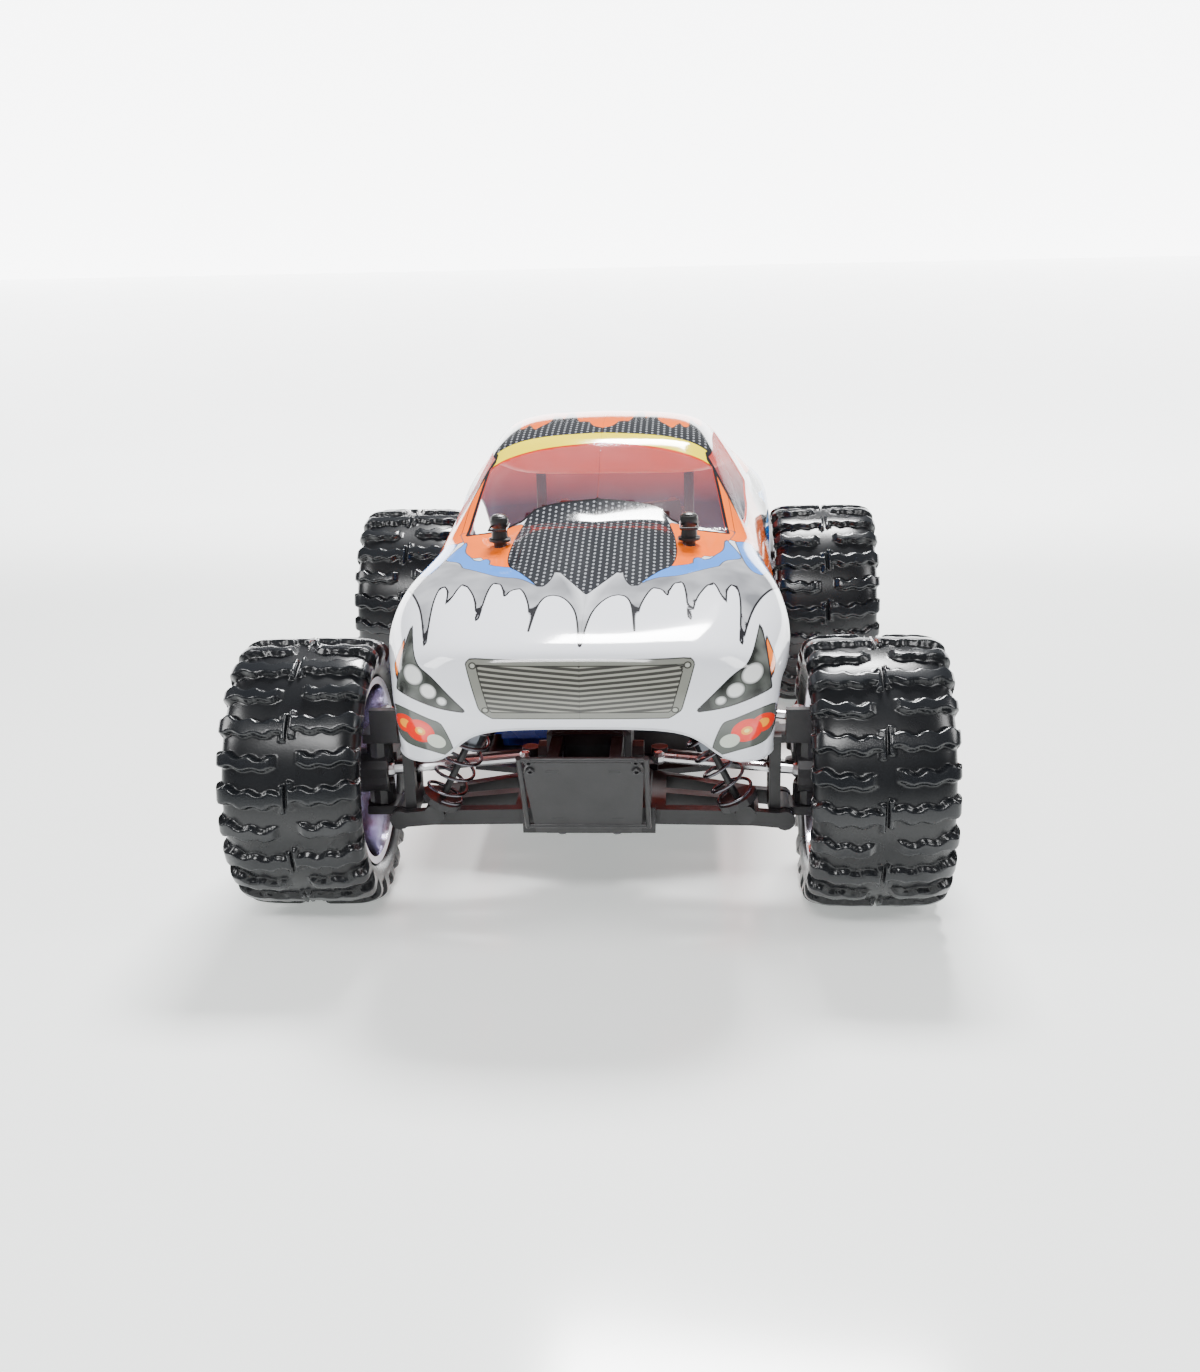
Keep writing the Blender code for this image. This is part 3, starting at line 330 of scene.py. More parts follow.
def shellNet():
    nose, tail = -shell["half"], shell["half"]
    belt, roof, hood, sill = shell["belt"], shell["roof"], shell["hood"], shell["sill"]
    rows = [
        [(0, nose, 103), (24, nose, 103), (47, nose + 1, 101), (58, nose + 12, 83), (74, nose + 18, 82),
         (79, nose + 25, sill), (79, nose + 27, sill), (79, nose + 28, sill)],
        [(0, nose - 1, 107), (24, nose - 1, 107), (48, nose, 106), (64, nose + 8, 98), (78, nose + 16, 97),
         (80, nose + 25, 96), (80, nose + 29, 94), (79, nose + 30, 93)],
        [(0, nose - 1, 118), (24, nose - 1, 118), (48, nose, 117), (66, nose + 8, 114),
         (79, nose + 18, 112),
         (82, nose + 27, 109), (81.5, nose + 32, 106), (80.5, nose + 34, 104)],
        [(0, nose + 2, 132), (24, nose + 2, 132), (48, nose + 4, 131), (66, nose + 12, 128),
         (78, nose + 22, 122),
         (83, nose + 33, 118), (84, nose + 38, 115), (83, nose + 40, 113)],
        [(0, nose + 9, 137), (24, nose + 9, 137), (46, nose + 12, 137), (64, nose + 20, 134),
         (76, nose + 30, 129),
         (84, nose + 40, 122), (86, nose + 45, 116), (85, nose + 49, 112)],
        [(0, nose + 34, 142), (22, nose + 34, 142), (44, nose + 36, 143), (62, nose + 41, 142),
         (76, nose + 46, 137), (86, nose + 52, 128), (88, nose + 55, 121), (87, nose + 58, 117)],
        [(0, -142, 146), (20, -142, 147), (34, -138, 148), (56, -136, 150), (74, -134, 145),
         (belt, -132, 134), (belt + 1, -131, 125), (belt, -130, 120)],
        [(0, -112, 152), (27, -112, 154), (36, -110, 149), (56, -110, 151), (75, -110, 147),
         (belt - 4, -108, 141), (belt - 4, -106, 137), (belt - 4, -104, 134)],
        [(0, -84, hood + 8), (29, -84, hood + 11), (38, -84, hood + 1), (56, -84, 152), (75, -84, 148),
         (belt - 3, -90, 136), (belt - 3, -90, 124), (belt - 4, -88, 114)],
        [(0, -76, hood + 9), (30, -74, hood + 10), (40, -66, 153), (58, -62, 152), (73, -62, 150),
         (belt - 3, -72, 130), (belt - 3, -74, 110), (belt - 4, -76, sill + 10)],
        [(0, -70, 159), (30, -68, 159), (46, -60, 156), (60, -56, 155), (70, -54, 154),
         (belt - 2, -56, 130), (belt - 2, -60, 106), (belt - 3, -62, sill)],
        [(0, -42, 174), (26, -40, 173), (46, -36, 172), (56, -33, 171), (64, -30, 167),
         (belt - 2, -26, 132), (belt + 1, -26, 106), (belt - 1, -26, sill)],
        [(0, -18, 187), (24, -16, 186.5), (42, -14, 185), (52, -12, 183), (60, -8, 177),
         (belt - 2, -4, 132), (belt + 1, -4, 106), (belt - 1, -4, sill)],
        [(0, -8, roof - 2.5), (24, -7, roof - 3), (42, -6, roof - 4.5), (53, -4, roof - 8),
         (60, 0, roof - 15),
         (belt - 2, 4, 132), (belt + 1, 4, 106), (belt - 1, 4, sill)],
        [(0, 30, roof + 1), (24, 30, roof + 0.5), (42, 30, roof - 1), (54, 30, roof - 6),
         (60, 30, roof - 15),
         (belt - 2, 30, 132), (belt + 1, 30, 106), (belt - 1, 30, sill)],
        [(0, 66, roof - 1), (24, 66, roof - 1.5), (42, 66, roof - 3), (54, 67, roof - 8),
         (61, 68, roof - 16),
         (belt - 1, 64, 133), (belt + 2, 62, 106), (belt, 62, sill)],
        [(0, 80, roof - 7), (24, 80, roof - 7.5), (42, 80, roof - 9), (55, 82, roof - 14), (64, 86, 172),
         (belt, 82, 134), (belt + 3, 80, 110), (belt + 2, 76, sill + 2)],
        [(0, 92, 166), (24, 92, 166), (42, 92, 166), (57, 94, 167), (70, 98, 167),
         (belt + 1, 92, 138), (belt + 3, 88, 118), (belt + 3, 84, 100)],
        [(0, 98, 151), (24, 98, 151), (42, 98, 151), (60, 100, 153), (72, 110, 163),
         (belt + 1, 106, 139), (belt + 3, 100, 126), (belt + 3, 94, 116)],
        [(0, 112, 149), (24, 112, 149), (42, 112, 149), (62, 114, 150), (74, 128, 155),
         (belt, 126, 140), (belt + 3, 120, 133), (belt + 3, 114, 128)],
        [(0, 150, 149), (24, 150, 149), (42, 150, 149), (62, 150, 149), (75, 152, 149),
         (belt, 152, 140), (belt + 2, 154, 133), (belt + 2, 156, 129)],
        [(0, tail - 14, 148), (24, tail - 14, 148), (42, tail - 14, 148), (60, tail - 15, 148),
         (74, tail - 18, 146), (belt - 2, tail - 20, 134), (belt, tail - 20, 124), (belt, tail - 20, 118)],
        [(0, tail - 1, 144), (24, tail - 1, 144), (42, tail - 2, 144), (60, tail - 4, 142),
         (74, tail - 8, 137), (84, tail - 13, 126), (86, tail - 14, 112), (86, tail - 15, 106)],
        [(0, tail + 2, 124), (24, tail + 2, 124), (42, tail + 2, 124), (60, tail, 120),
         (74, tail - 4, 114), (83, tail - 8, 106), (84, tail - 10, 98), (84, tail - 11, 94)],
        [(0, tail - 1, 100), (24, tail - 1, 100), (42, tail - 2, 98), (60, tail - 4, 94),
         (72, tail - 6, 92), (80, tail - 8, 90), (82, tail - 9, 89), (82, tail - 9, 88)],
    ]
    return np.array(rows, dtype=float)


def spline(rows, count):
    # A uniform cubic B-spline through control rows, its end rows held, read at count places.
    rows = np.concatenate([rows[:1], rows[:1], rows, rows[-1:], rows[-1:]])
    place = np.linspace(0, len(rows) - 3 - 1e-9, count)
    first = place.astype(int)
    t = (place - first).reshape(-1, *([1] * (rows.ndim - 1)))
    weights = ((1 - t) ** 3 / 6, (3 * t ** 3 - 6 * t ** 2 + 4) / 6,
               (-3 * t ** 3 + 3 * t ** 2 + 3 * t + 1) / 6,
               t ** 3 / 6)
    return sum(weight * rows[first + i] for i, weight in enumerate(weights))


def shellSurface(along, across, inset=0.0):
    # The whole skin: the half net read densely, mirrored, and moved inwards along its normals.
    half = spline(shellNet(), along)
    half = spline(half.transpose(1, 0, 2), across).transpose(1, 0, 2)
    half[:, 0, 0] = 0
    whole = np.concatenate([(half * (-1, 1, 1))[:, :0:-1], half], 1)
    if inset:
        du = np.gradient(whole, axis=0)
        dv = np.gradient(whole, axis=1)
        normal = np.cross(dv, du)
        normal /= np.maximum(np.linalg.norm(normal, axis=2, keepdims=True), 1e-9)
        outward = np.sign(np.sum(normal * (whole - (0, 0, 60)), axis=2).mean())
        whole = whole - outward * normal * inset / mm
    return whole * mm


def areaDistance(points, outline):
    # Signed distance from points to a closed outline, in its own units, negative inside.
    points = np.asarray(points, dtype=float)
    corners = np.array(outline, dtype=float)
    nearest = np.full(len(points), 1e9)
    inside = np.zeros(len(points), dtype=bool)
    for start, end in zip(corners, np.roll(corners, -1, 0)):
        edge = end - start
        offset = points - start
        share = np.clip(offset @ edge / max(edge @ edge, 1e-12), 0, 1)
        nearest = np.minimum(nearest, np.linalg.norm(offset - share[:, None] * edge, axis=1))
        crosses = (start[1] > points[:, 1]) != (end[1] > points[:, 1])
        slope = edge[0] * offset[:, 1] / (edge[1] if abs(edge[1]) > 1e-9 else 1e-9) + start[0]
        inside ^= crosses & (points[:, 0] < slope)
    return np.where(inside, -nearest, nearest)


def flowing(points, perSpan=6):
    # An outline smoothed through its points; a point given twice stays a sharp tip.
    points = np.array(points, dtype=float)
    same = np.all(np.isclose(points, np.roll(points, -1, 0)), axis=1)
    before, after, beyond = np.roll(points, 1, 0), np.roll(points, -1, 0), np.roll(points, -2, 0)
    pieces = []
    for i in range(len(points)):
        if same[i]:
            continue
        t = np.linspace(0, 1, perSpan, endpoint=False)[:, None]
        p0 = before[i] if not same[i - 1] else points[i]
        p3 = beyond[i] if not same[(i + 1) % len(points)] else after[i]
        curve = (2 * points[i] + (after[i] - p0) * t + (2 * p0 - 5 * points[i] + 4 * after[i] - p3) * t ** 2
                 + (3 * points[i] - p0 - 3 * after[i] + p3) * t ** 3) / 2
        pieces.append(curve)
    return np.concatenate(pieces)


def tip(x, y):
    return [(x, y), (x, y)]


# Livery outlines on one half, in millimetres. The hood and roof are seen from above as (x, y).
livery = {
    "silver": [*tip(0, -191), (3, -165), (9, -151), (16, -149), (20, -158), *tip(22, -181), (23, -160),
               (28, -143), (33, -145), *tip(34.5, -150), (37, -139), (41, -137), (43, -148), *tip(44, -171),
               (47, -152), (53, -138), (56, -141), *tip(59, -155), (60, -142), (64, -136), (66, -150),
               *tip(65, -178), (71, -150), *tip(82, -118), (83, -100), (60, -94), *tip(30, -104),
               *tip(0, -112)],
    "innerSilver": [*tip(0, -165), (7, -138), (14, -126), *tip(19, -128), (30, -126), (48, -122),
                    (62, -106),
                    (66, -98), (60, -94), *tip(30, -96), *tip(0, -106)],
    "blue": [*tip(20, -142), (30, -132), (40, -129), (48, -124), *tip(57, -117), (60, -108), (67, -100),
             (66, -90), *tip(61, -72), (60, -90), (56, -101), *tip(52, -110), (47, -104), *tip(46, -114),
             (38, -117), (30, -122)],
    "blueOuter": [*tip(66, -74), (68, -94), (70, -108), (73, -115), (77, -112), (80, -96), (80, -84),
                  *tip(74, -64)],
    "orangeHood": [*tip(35, -66), (50, -62), *tip(66, -60), (61, -80), (58, -97), *tip(54, -104),
                   (52, -100),
                   *tip(48, -108), (42, -116), *tip(36, -118)],
    "bulge": [*tip(0, -147), (6, -137), (11, -129), *tip(15.5, -121), (16, -132), (20, -141), (25, -134),
              (31, -124), (36, -116), (38, -100), (37, -80), (34, -66), (29, -57), (14, -54), *tip(0, -54)],
    "window": [*tip(0, -54), (20, -55), *tip(30, -57), *tip(36, -63), *tip(62, -63), *tip(55.5, -20),
               (30, -16.5), *tip(0, -15.5)],
    "visor": [*tip(0, -15.5), (30, -16.5), *tip(58.5, -20.5), *tip(56, -10.5), (30, -6), *tip(0, -4.5)],
    "roofCarbon": [*tip(0, -4.5), *tip(0, 4), (5, 8), *tip(9, 22), (11, 16), (14, 22), *tip(19, 58),
                   (21, 30),
                   (23, 28), *tip(27, 47), (28, 24), (32, 14), *tip(36, 6), *tip(39, 22), (41, 14),
                   (44, 16),
                   *tip(45, 40), (48, 30), (51, 34), *tip(51, 74), (56, 40), *tip(60, -2), *tip(56, -10.5),
                   (30, -6)],
    "roofOrange": [*tip(0, -8), *tip(62, -22), *tip(66, -60), *tip(73, -66), (70, -30), (62, 20),
                   *tip(58, 92),
                   *tip(0, 92)],
}
# The fascia is seen from the front as (x, z) and the sides from the side as (y, z).
fascia = {
    "grille": [(0, 131), (44, 131), (46, 129.5), (40.5, 111), (38, 109.5), (36, 108), (0, 108)],
    "grilleHole": [(0, 128.8), (41.6, 128.8), (36.4, 110.6), (0, 110.6)],
    "lamp": [*tip(73.8, 135), (68, 126), (60, 121.5), *tip(46.5, 110), (60, 110.8), *tip(77.5, 114),
             (76, 125)],
    "lampMark": [*tip(75.6, 131.5), (78.6, 125), *tip(79.6, 121.5), *tip(77.8, 117.5), (77, 122)],
    "fog": [(79, 106.5), (62, 104.5), (56.8, 102), (53.6, 89.5), (64, 89.6), (77, 93)],
}
headBulbs = (((69.5, 121.5), 3.4), ((62.5, 116.6), 2.7), ((56.5, 113.4), 1.5))
fogLamps = (
    ((74.2, 100.2), 4.0, (0.8, 0.03, 0.01)), ((74.2, 100.2), 2.0, (0.95, 0.35, 0.03)),
    ((67.3, 98.2), 5.2, (0.85, 0.02, 0.01)), ((67.3, 98.2), 1.9, (0.95, 0.35, 0.03)),
    ((67.3, 98.2), 0.9, (0.95, 0.8, 0.2)), ((60.3, 94.6), 3.3, (0.55, 0.6, 0.52)),
)
grilleScrews = ((43.2, 128.6), (38.2, 111.2))
flank = {
    "silver": [*tip(-132, 130), (-108, 138), *tip(-122, 146), (-96, 147), *tip(-80, 149), *tip(-40, 149),
               (-44, 120), (-50, 100), *tip(-68, 82), (-70, 100), *tip(-86, 104), (-84, 116),
               *tip(-100, 118)],
    "orange": [*tip(-74, 148), (-60, 140), *tip(-74, 128), (-50, 126), *tip(-64, 108), (-40, 108),
               *tip(-52, 90),
               (-20, 82), *tip(40, 80), (24, 104), *tip(60, 112), (40, 124), *tip(74, 134), (60, 146),
               *tip(84, 190), (0, 200), *tip(-30, 190)],
    "carbon": [*tip(20, 78), (34, 96), *tip(12, 102), (44, 112), *tip(30, 122), (62, 130), *tip(52, 142),
               (84, 146), *tip(92, 158), (130, 160), *tip(206, 158), *tip(206, 78)],
    "blue": [*tip(34, 76), (52, 96), *tip(40, 104), (72, 112), *tip(58, 122), (96, 128), *tip(84, 140),
             (126, 138),
             *tip(112, 147), (150, 146), *tip(196, 142), (170, 132), *tip(186, 126), (140, 122),
             *tip(152, 112),
             (110, 108), *tip(126, 94), (90, 92), *tip(96, 76)],
    "sideWindow": [*tip(-46, 152), (-30, 166), *tip(-14, 179.5), (20, 183), *tip(56, 181), *tip(64, 152)],
    "sail": [*tip(84, 196), *tip(84, 152), (110, 152), *tip(150, 152), *tip(150, 196)],
}


def setAttribute(mesh, name, values):
    layer = mesh.attributes.new(name, "FLOAT", "POINT")
    layer.data.foreach_set("value", np.asarray(values, dtype=np.float32))


def writeLivery(mesh, points):
    # Each outline becomes a signed distance kept on the mesh, in millimetres, which the paint cuts sharp.
    spot = points.reshape(-1, 3) / mm
    x = np.abs(spot[:, 0])
    above = np.stack([x, spot[:, 1]], -1)
    front = np.stack([x, spot[:, 2]], -1)
    side = spot[:, 1:]
    far = 60.0
    isNose = spot[:, 1] < -150
    isFlank = (x > 62) & (spot[:, 1] > -128) & ((spot[:, 2] < 149) | (x > 73))
    for name, outline in livery.items():
        value = areaDistance(above, flowing(outline))
        if name in ("window", "visor", "roofCarbon", "roofOrange"):
            value = np.where((spot[:, 1] > 88) | (spot[:, 2] < 150.5), far, value)
        if name in ("silver", "blueOuter"):
            value = np.where(spot[:, 2] < 100, far, value)
        setAttribute(mesh, name, value)
    for name, outline in fascia.items():
        straight = name in ("grille", "grilleHole")
        value = areaDistance(front, outline if straight else flowing(outline))
        setAttribute(mesh, name, np.where(isNose, value, far))
    setAttribute(mesh, "across", x)
    for name, outline in flank.items():
        value = areaDistance(side, flowing(outline))
        mask = isFlank if name not in ("sideWindow", "orange", "sail") else x > 52
        setAttribute(mesh, "flank" + name, np.where(mask, value, far))


def paintLayer(tree, below, name, colour, line=0.0, lineColour=(0.01, 0.01, 0.012), grow=0.0, soft=0.12):
    # Lays a colour inside one stored outline, with a drawn line round it if wanted.
    stored = tree.nodes.new("ShaderNodeAttribute")
    stored.attribute_name = name
    distance = stored.outputs["Fac"]
    result = below
    if line:
        outer = mapRange(tree, distance, grow + line - soft, grow + line + soft, 1, 0)
        result = mixColour(tree, outer, result, lineColour)
    inner = mapRange(tree, distance, grow - soft, grow + soft, 1, 0)
    return mixColour(tree, inner, result, colour), inner


def spotLayer(tree, below, centre, radius, colour, soft=0.12):
    # A round lamp printed at (x, z) on each side of the fascia.
    place = tree.nodes.new("ShaderNodeSeparateXYZ")
    tree.links.new(objectPlace(tree), place.inputs[0])
    dx = mathNode(tree, "MULTIPLY_ADD", mathNode(tree, "ABSOLUTE", place.outputs["X"]), 1000, -centre[0])
    dz = mathNode(tree, "MULTIPLY_ADD", place.outputs["Z"], 1000, -centre[1])
    wide = mathNode(tree, "MULTIPLY", dx, 0.8)
    square = mathNode(tree, "ADD", mathNode(tree, "MULTIPLY", wide, wide),
                      mathNode(tree, "MULTIPLY", dz, dz))
    distance = mathNode(tree, "SQRT", square)
    isFront = mathNode(tree, "LESS_THAN", place.outputs["Y"], -0.15)
    mask = mathNode(tree, "MULTIPLY", mapRange(tree, distance, radius - soft, radius + soft, 1, 0), isFront)
    return mixColour(tree, mask, below, colour)


def carbonWeave(tree):
    # Dark cloth with pale dashes in staggered rows, seen from above or from the side.
    place = tree.nodes.new("ShaderNodeSeparateXYZ")
    tree.links.new(objectPlace(tree), place.inputs[0])
    pitchX, pitchY = 3.0, 4.4
    sideways = mathNode(tree, "MULTIPLY", place.outputs["X"], 1000 / pitchX)
    forward = mathNode(tree, "ADD", mathNode(tree, "MULTIPLY", place.outputs["Y"], 1000 / pitchY),
                       mathNode(tree, "MULTIPLY", place.outputs["Z"], 1000 / pitchY))
    odd = mathNode(tree, "MODULO", mathNode(tree, "ABSOLUTE", mathNode(tree, "FLOOR", sideways)), 2.0)
    shifted = mathNode(tree, "MULTIPLY_ADD", odd, 0.5, forward)
    a = mathNode(tree, "ABSOLUTE", mathNode(tree, "SUBTRACT", mathNode(tree, "FRACT", sideways), 0.5))
    b = mathNode(tree, "ABSOLUTE", mathNode(tree, "SUBTRACT", mathNode(tree, "FRACT", shifted), 0.5))
    dash = mathNode(tree, "ADD", mathNode(tree, "MULTIPLY", mathNode(tree, "MULTIPLY", a, a), 18),
                    mathNode(tree, "MULTIPLY", mathNode(tree, "MULTIPLY", b, b), 9))
    mask = mapRange(tree, dash, 0.35, 1.0, 1, 0)
    return mixColour(tree, mask, (0.018, 0.02, 0.024), (0.26, 0.27, 0.29))


def grilleColour(tree):
    # Chevron louvres: bars that drop towards the middle, each pale on top and dark below.
    place = tree.nodes.new("ShaderNodeSeparateXYZ")
    tree.links.new(objectPlace(tree), place.inputs[0])
    across = mathNode(tree, "ABSOLUTE", place.outputs["X"])
    height = mathNode(tree, "SUBTRACT", place.outputs["Z"], mathNode(tree, "MULTIPLY", across, 0.085))
    bar = mathNode(tree, "FRACT", mathNode(tree, "MULTIPLY", height, 1000 / 2.05))
    pale = mapRange(tree, bar, 0.42, 0.55, 0, 1)
    top = mapRange(tree, bar, 0.88, 0.97, 1, 0)
    return mixColour(tree, mathNode(tree, "MULTIPLY", pale, top), (0.045, 0.045, 0.04), (0.27, 0.27, 0.235))


def makePaint():
    material, tree, shader = newMaterial("shellPaint", Metallic=0.0, Coat_Weight=0.25, Coat_Roughness=0.03)
    shader.inputs["IOR"].default_value = 1.5
    carbon = carbonWeave(tree)
    shade = noise(tree, 14, 2)
    orange = mixColour(tree, shade, (0.95, 0.1, 0.0), (1.0, 0.2, 0.005))
    silver = mixColour(tree, mapRange(tree, noise(tree, 40, 2), 0.3, 0.7), (0.16, 0.165, 0.18),
                       (0.5, 0.51, 0.54))
    blue = mixColour(tree, shade, (0.035, 0.19, 0.68), (0.09, 0.31, 0.84))
    deepBlue = mixColour(tree, noise(tree, 60, 3), (0.0, 0.06, 0.45), (0.0, 0.3, 0.85))
    ink = (0.012, 0.012, 0.015)
    grey = (0.09, 0.095, 0.11)
    look = (0.8, 0.82, 0.88)
    for name, colour, line, edge in (
            ("flanksilver", silver, 0.8, grey), ("flankorange", orange, 0.8, ink),
            ("flankcarbon", carbon, 0.9, ink),
            ("flankblue", deepBlue, 0.7, (0.25, 0.6, 0.95)), ("silver", silver, 0.8, ink)):
        look, _ = paintLayer(tree, look, name, colour, line, edge)
    look, _ = paintLayer(tree, look, "innerSilver", (0.7, 0.72, 0.75), 0.0, grow=-0.5, soft=3.0)
    for name, colour, line, edge in (
            ("blueOuter", blue, 0.6, grey), ("orangeHood", orange, 0.4, grey), ("blue", blue, 0.6, grey),
            ("roofOrange", orange, 0.3, ink), ("roofCarbon", carbon, 0.4, (0.3, 0.1, 0.03)),
            ("flanksail", orange, 0.5, ink), ("bulge", carbon, 0.5, ink)):
        look, _ = paintLayer(tree, look, name, colour, line, edge)
    # Inside the windscreen outline the paint goes nearly clear; its faint dark red is a painted reflection.
    look, glass = paintLayer(tree, look, "window", (0.2, 0.05, 0.05), 1.5, ink)
    look, _ = paintLayer(tree, look, "visor", (0.9, 0.72, 0.0), 0.45, ink)
    look, sideGlass = paintLayer(tree, look, "flanksideWindow", (0.02, 0.02, 0.03), 1.6, ink)
    look, _ = paintLayer(tree, look, "grille", (0.2, 0.205, 0.18), 0.45, (0.03, 0.03, 0.028))
    look, _ = paintLayer(tree, look, "grilleHole", grilleColour(tree), 0.4, (0.02, 0.02, 0.018))
    lampDepth = mapRange(tree, noise(tree, 90, 1), 0.4, 0.7)
    lampShade = mixColour(tree, lampDepth, (0.012, 0.014, 0.012), (0.12, 0.13, 0.12))
    look, _ = paintLayer(tree, look, "lamp", lampShade, 0.5, ink)
    for centre, radius in headBulbs:
        look = spotLayer(tree, look, centre, radius + 0.5, (0.03, 0.032, 0.03), 0.4)
        look = spotLayer(tree, look, centre, radius, (0.75, 0.77, 0.76), 0.5)
    look, _ = paintLayer(tree, look, "lampMark", (0.95, 0.2, 0.01), 0.4, ink)
    look, _ = paintLayer(tree, look, "fog", (0.09, 0.1, 0.09), 0.4, ink)
    for centre, radius, colour in fogLamps:
        look = spotLayer(tree, look, centre, radius, colour)
    for centre in grilleScrews:
        look = spotLayer(tree, look, centre, 1.3, (0.04, 0.04, 0.035))
        look = spotLayer(tree, look, centre, 0.8, (0.35, 0.36, 0.32))
    tree.links.new(look, shader.inputs["Base Color"])
    speck = noise(tree, 500, 2)
    tree.links.new(mathNode(tree, "MULTIPLY_ADD", speck, 0.06, 0.06), shader.inputs["Roughness"])
    bump(tree, noise(tree, 60, 2), shader, 0.03, 0.0003)
    clear = mathNode(tree, "MAXIMUM", glass, sideGlass)
    tree.links.new(mathNode(tree, "MULTIPLY_ADD", clear, -0.9, 1.0), shader.inputs["Alpha"])
    return material


def makeWindowFinish():
    # Clear polycarbonate, glossy; its pale lavender colour, patchy through the opacity, is a painted
    # reflection.
    material, tree, shader = newMaterial("windowClear", Metallic=0.0, Roughness=0.03, IOR=1.5)
    # Painted reflection: pale lavender laid over the glass.
    tree.links.new(mixColour(tree, noise(tree, 30, 2), (0.55, 0.5, 0.62), (0.8, 0.76, 0.86)),
                   shader.inputs["Base Color"])
    tree.links.new(mathNode(tree, "MULTIPLY_ADD", noise(tree, 25, 3), 0.14, 0.03), shader.inputs["Alpha"])
    return material


def makeLinerFinish():
    # The paint seen from inside: orange under the roof, white forward, dark at the back. The upper part
    # also glows orange though it is no lamp: painted light.
    material, tree, shader = newMaterial("shellInside", Metallic=0.0)
    place = tree.nodes.new("ShaderNodeSeparateXYZ")
    tree.links.new(objectPlace(tree), place.inputs[0])
    forward = mapRange(tree, place.outputs["Y"], -0.08, -0.06)
    roofPaintAndGlow = mapRange(tree, place.outputs["Z"], 0.112, 0.15)
    colour = mixColour(tree, roofPaintAndGlow, (0.06, 0.07, 0.2), (0.95, 0.06, 0.02))
    tree.links.new(mixColour(tree, forward, (0.5, 0.52, 0.56), colour), shader.inputs["Base Color"])
    tree.links.new(mathNode(tree, "MULTIPLY_ADD", noise(tree, 200), 0.2, 0.3), shader.inputs["Roughness"])
    for name in ("window", "flanksideWindow"):
        stored = tree.nodes.new("ShaderNodeAttribute")
        stored.attribute_name = name
        inside = mapRange(tree, stored.outputs["Fac"], -0.2, 0.2, 0, 1)
        last = inside if name == "window" else mathNode(tree, "MINIMUM", last, inside)
    tree.links.new(last, shader.inputs["Alpha"])
    # Painted glow: the upper inside gives off orange light.
    tree.links.new(mixColour(tree, roofPaintAndGlow, (0, 0, 0), (1.0, 0.09, 0.02)), shader.inputs["Emission Color"])
    shader.inputs["Emission Strength"].default_value = 0.55
    return material


def makeShell():
    paint = makePaint()
    skinPoints = shellSurface(shell["alongCount"], shell["acrossCount"], shell["skin"])
    across = skinPoints.shape[1]
    skin = meshObject("shellSkin", skinPoints, gridFaces(len(skinPoints), across)[:, ::-1])
    writeLivery(skin.data, skinPoints)
    linerPoints = shellSurface(170, 40, shell["wall"])
    liner = meshObject("shellLiner", linerPoints, gridFaces(len(linerPoints), linerPoints.shape[1]))
    writeLivery(liner.data, linerPoints)
    dress(skin, paint, "shell")
    dress(liner, makeLinerFinish(), "shell")
    panePoints = shellSurface(240, 50, shell["paneDepth"])
    faces = gridFaces(len(panePoints), panePoints.shape[1])[:, ::-1]
    pane = meshObject("shellWindows", panePoints, faces)
    spot = panePoints.reshape(-1, 3) / mm
    x = np.abs(spot[:, 0])
    screen = areaDistance(np.stack([x, spot[:, 1]], -1), flowing(livery["window"]))
    screen = np.where((spot[:, 1] > 88) | (spot[:, 2] < 149), 60, screen)
    door = np.where(x > 52, areaDistance(spot[:, 1:], flowing(flank["sideWindow"])), 60)
    keep = np.minimum(screen, door) < 1.0
    bm = bmesh.new()
    bm.from_mesh(pane.data)
    bm.verts.ensure_lookup_table()
    bmesh.ops.delete(bm, geom=[bm.verts[i] for i in np.flatnonzero(~keep)], context="VERTS")
    bm.to_mesh(pane.data)
    bm.free()
    dress(pane, makeWindowFinish(), "shell")
    edge = joinedEdge(skinPoints)
    dress(edge, grained("shellEdge", (0.6, 0.62, 0.66), 0.25, scale=600, strength=0.05, fleck=0.1), "shell")
    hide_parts("body_shell")
    print("shell ready")


def joinedEdge(skinPoints):
    # The cut edge of the sheet: a thin bead along the border of the skin.
    border = np.concatenate([skinPoints[:, 0], skinPoints[-1, 1:], skinPoints[-2::-1, -1],
                             skinPoints[0, -2:0:-1]])
    step = np.linalg.norm(np.diff(border, axis=0, prepend=border[-1:]), axis=1)
    border = border[step > 0.2 * mm]
    return tube("shellEdge", border + (0, 0, 0.4 * mm), 0.55 * mm, 6, True)


makeShell()


# Wheels: a tread of wavy bars over a domed carcass, and a chromed rim
wheel = {
    "axle": 138 * mm, "track": 124.5 * mm, "centreZ": 60.5 * mm, "around": 704, "across": 128, "bars": 12,
    "carcass": [(57.9, 0), (57.9, 8), (57.6, 16), (57.0, 21), (55.6, 25.5), (53.4, 28.4), (50.5, 29.7),
                (47.4, 29.5), (44.8, 28.2), (43.0, 26.6), (42.8, 24.8)],
    "crest": [(60.4, 0), (60.4, 8), (60.35, 16), (60.1, 22), (59.1, 27), (56.9, 30.2), (53.5, 30.9),
              (50.2, 30.3), (46.0, 29.0), (43.2, 27.0), (42.8, 24.8)],
}


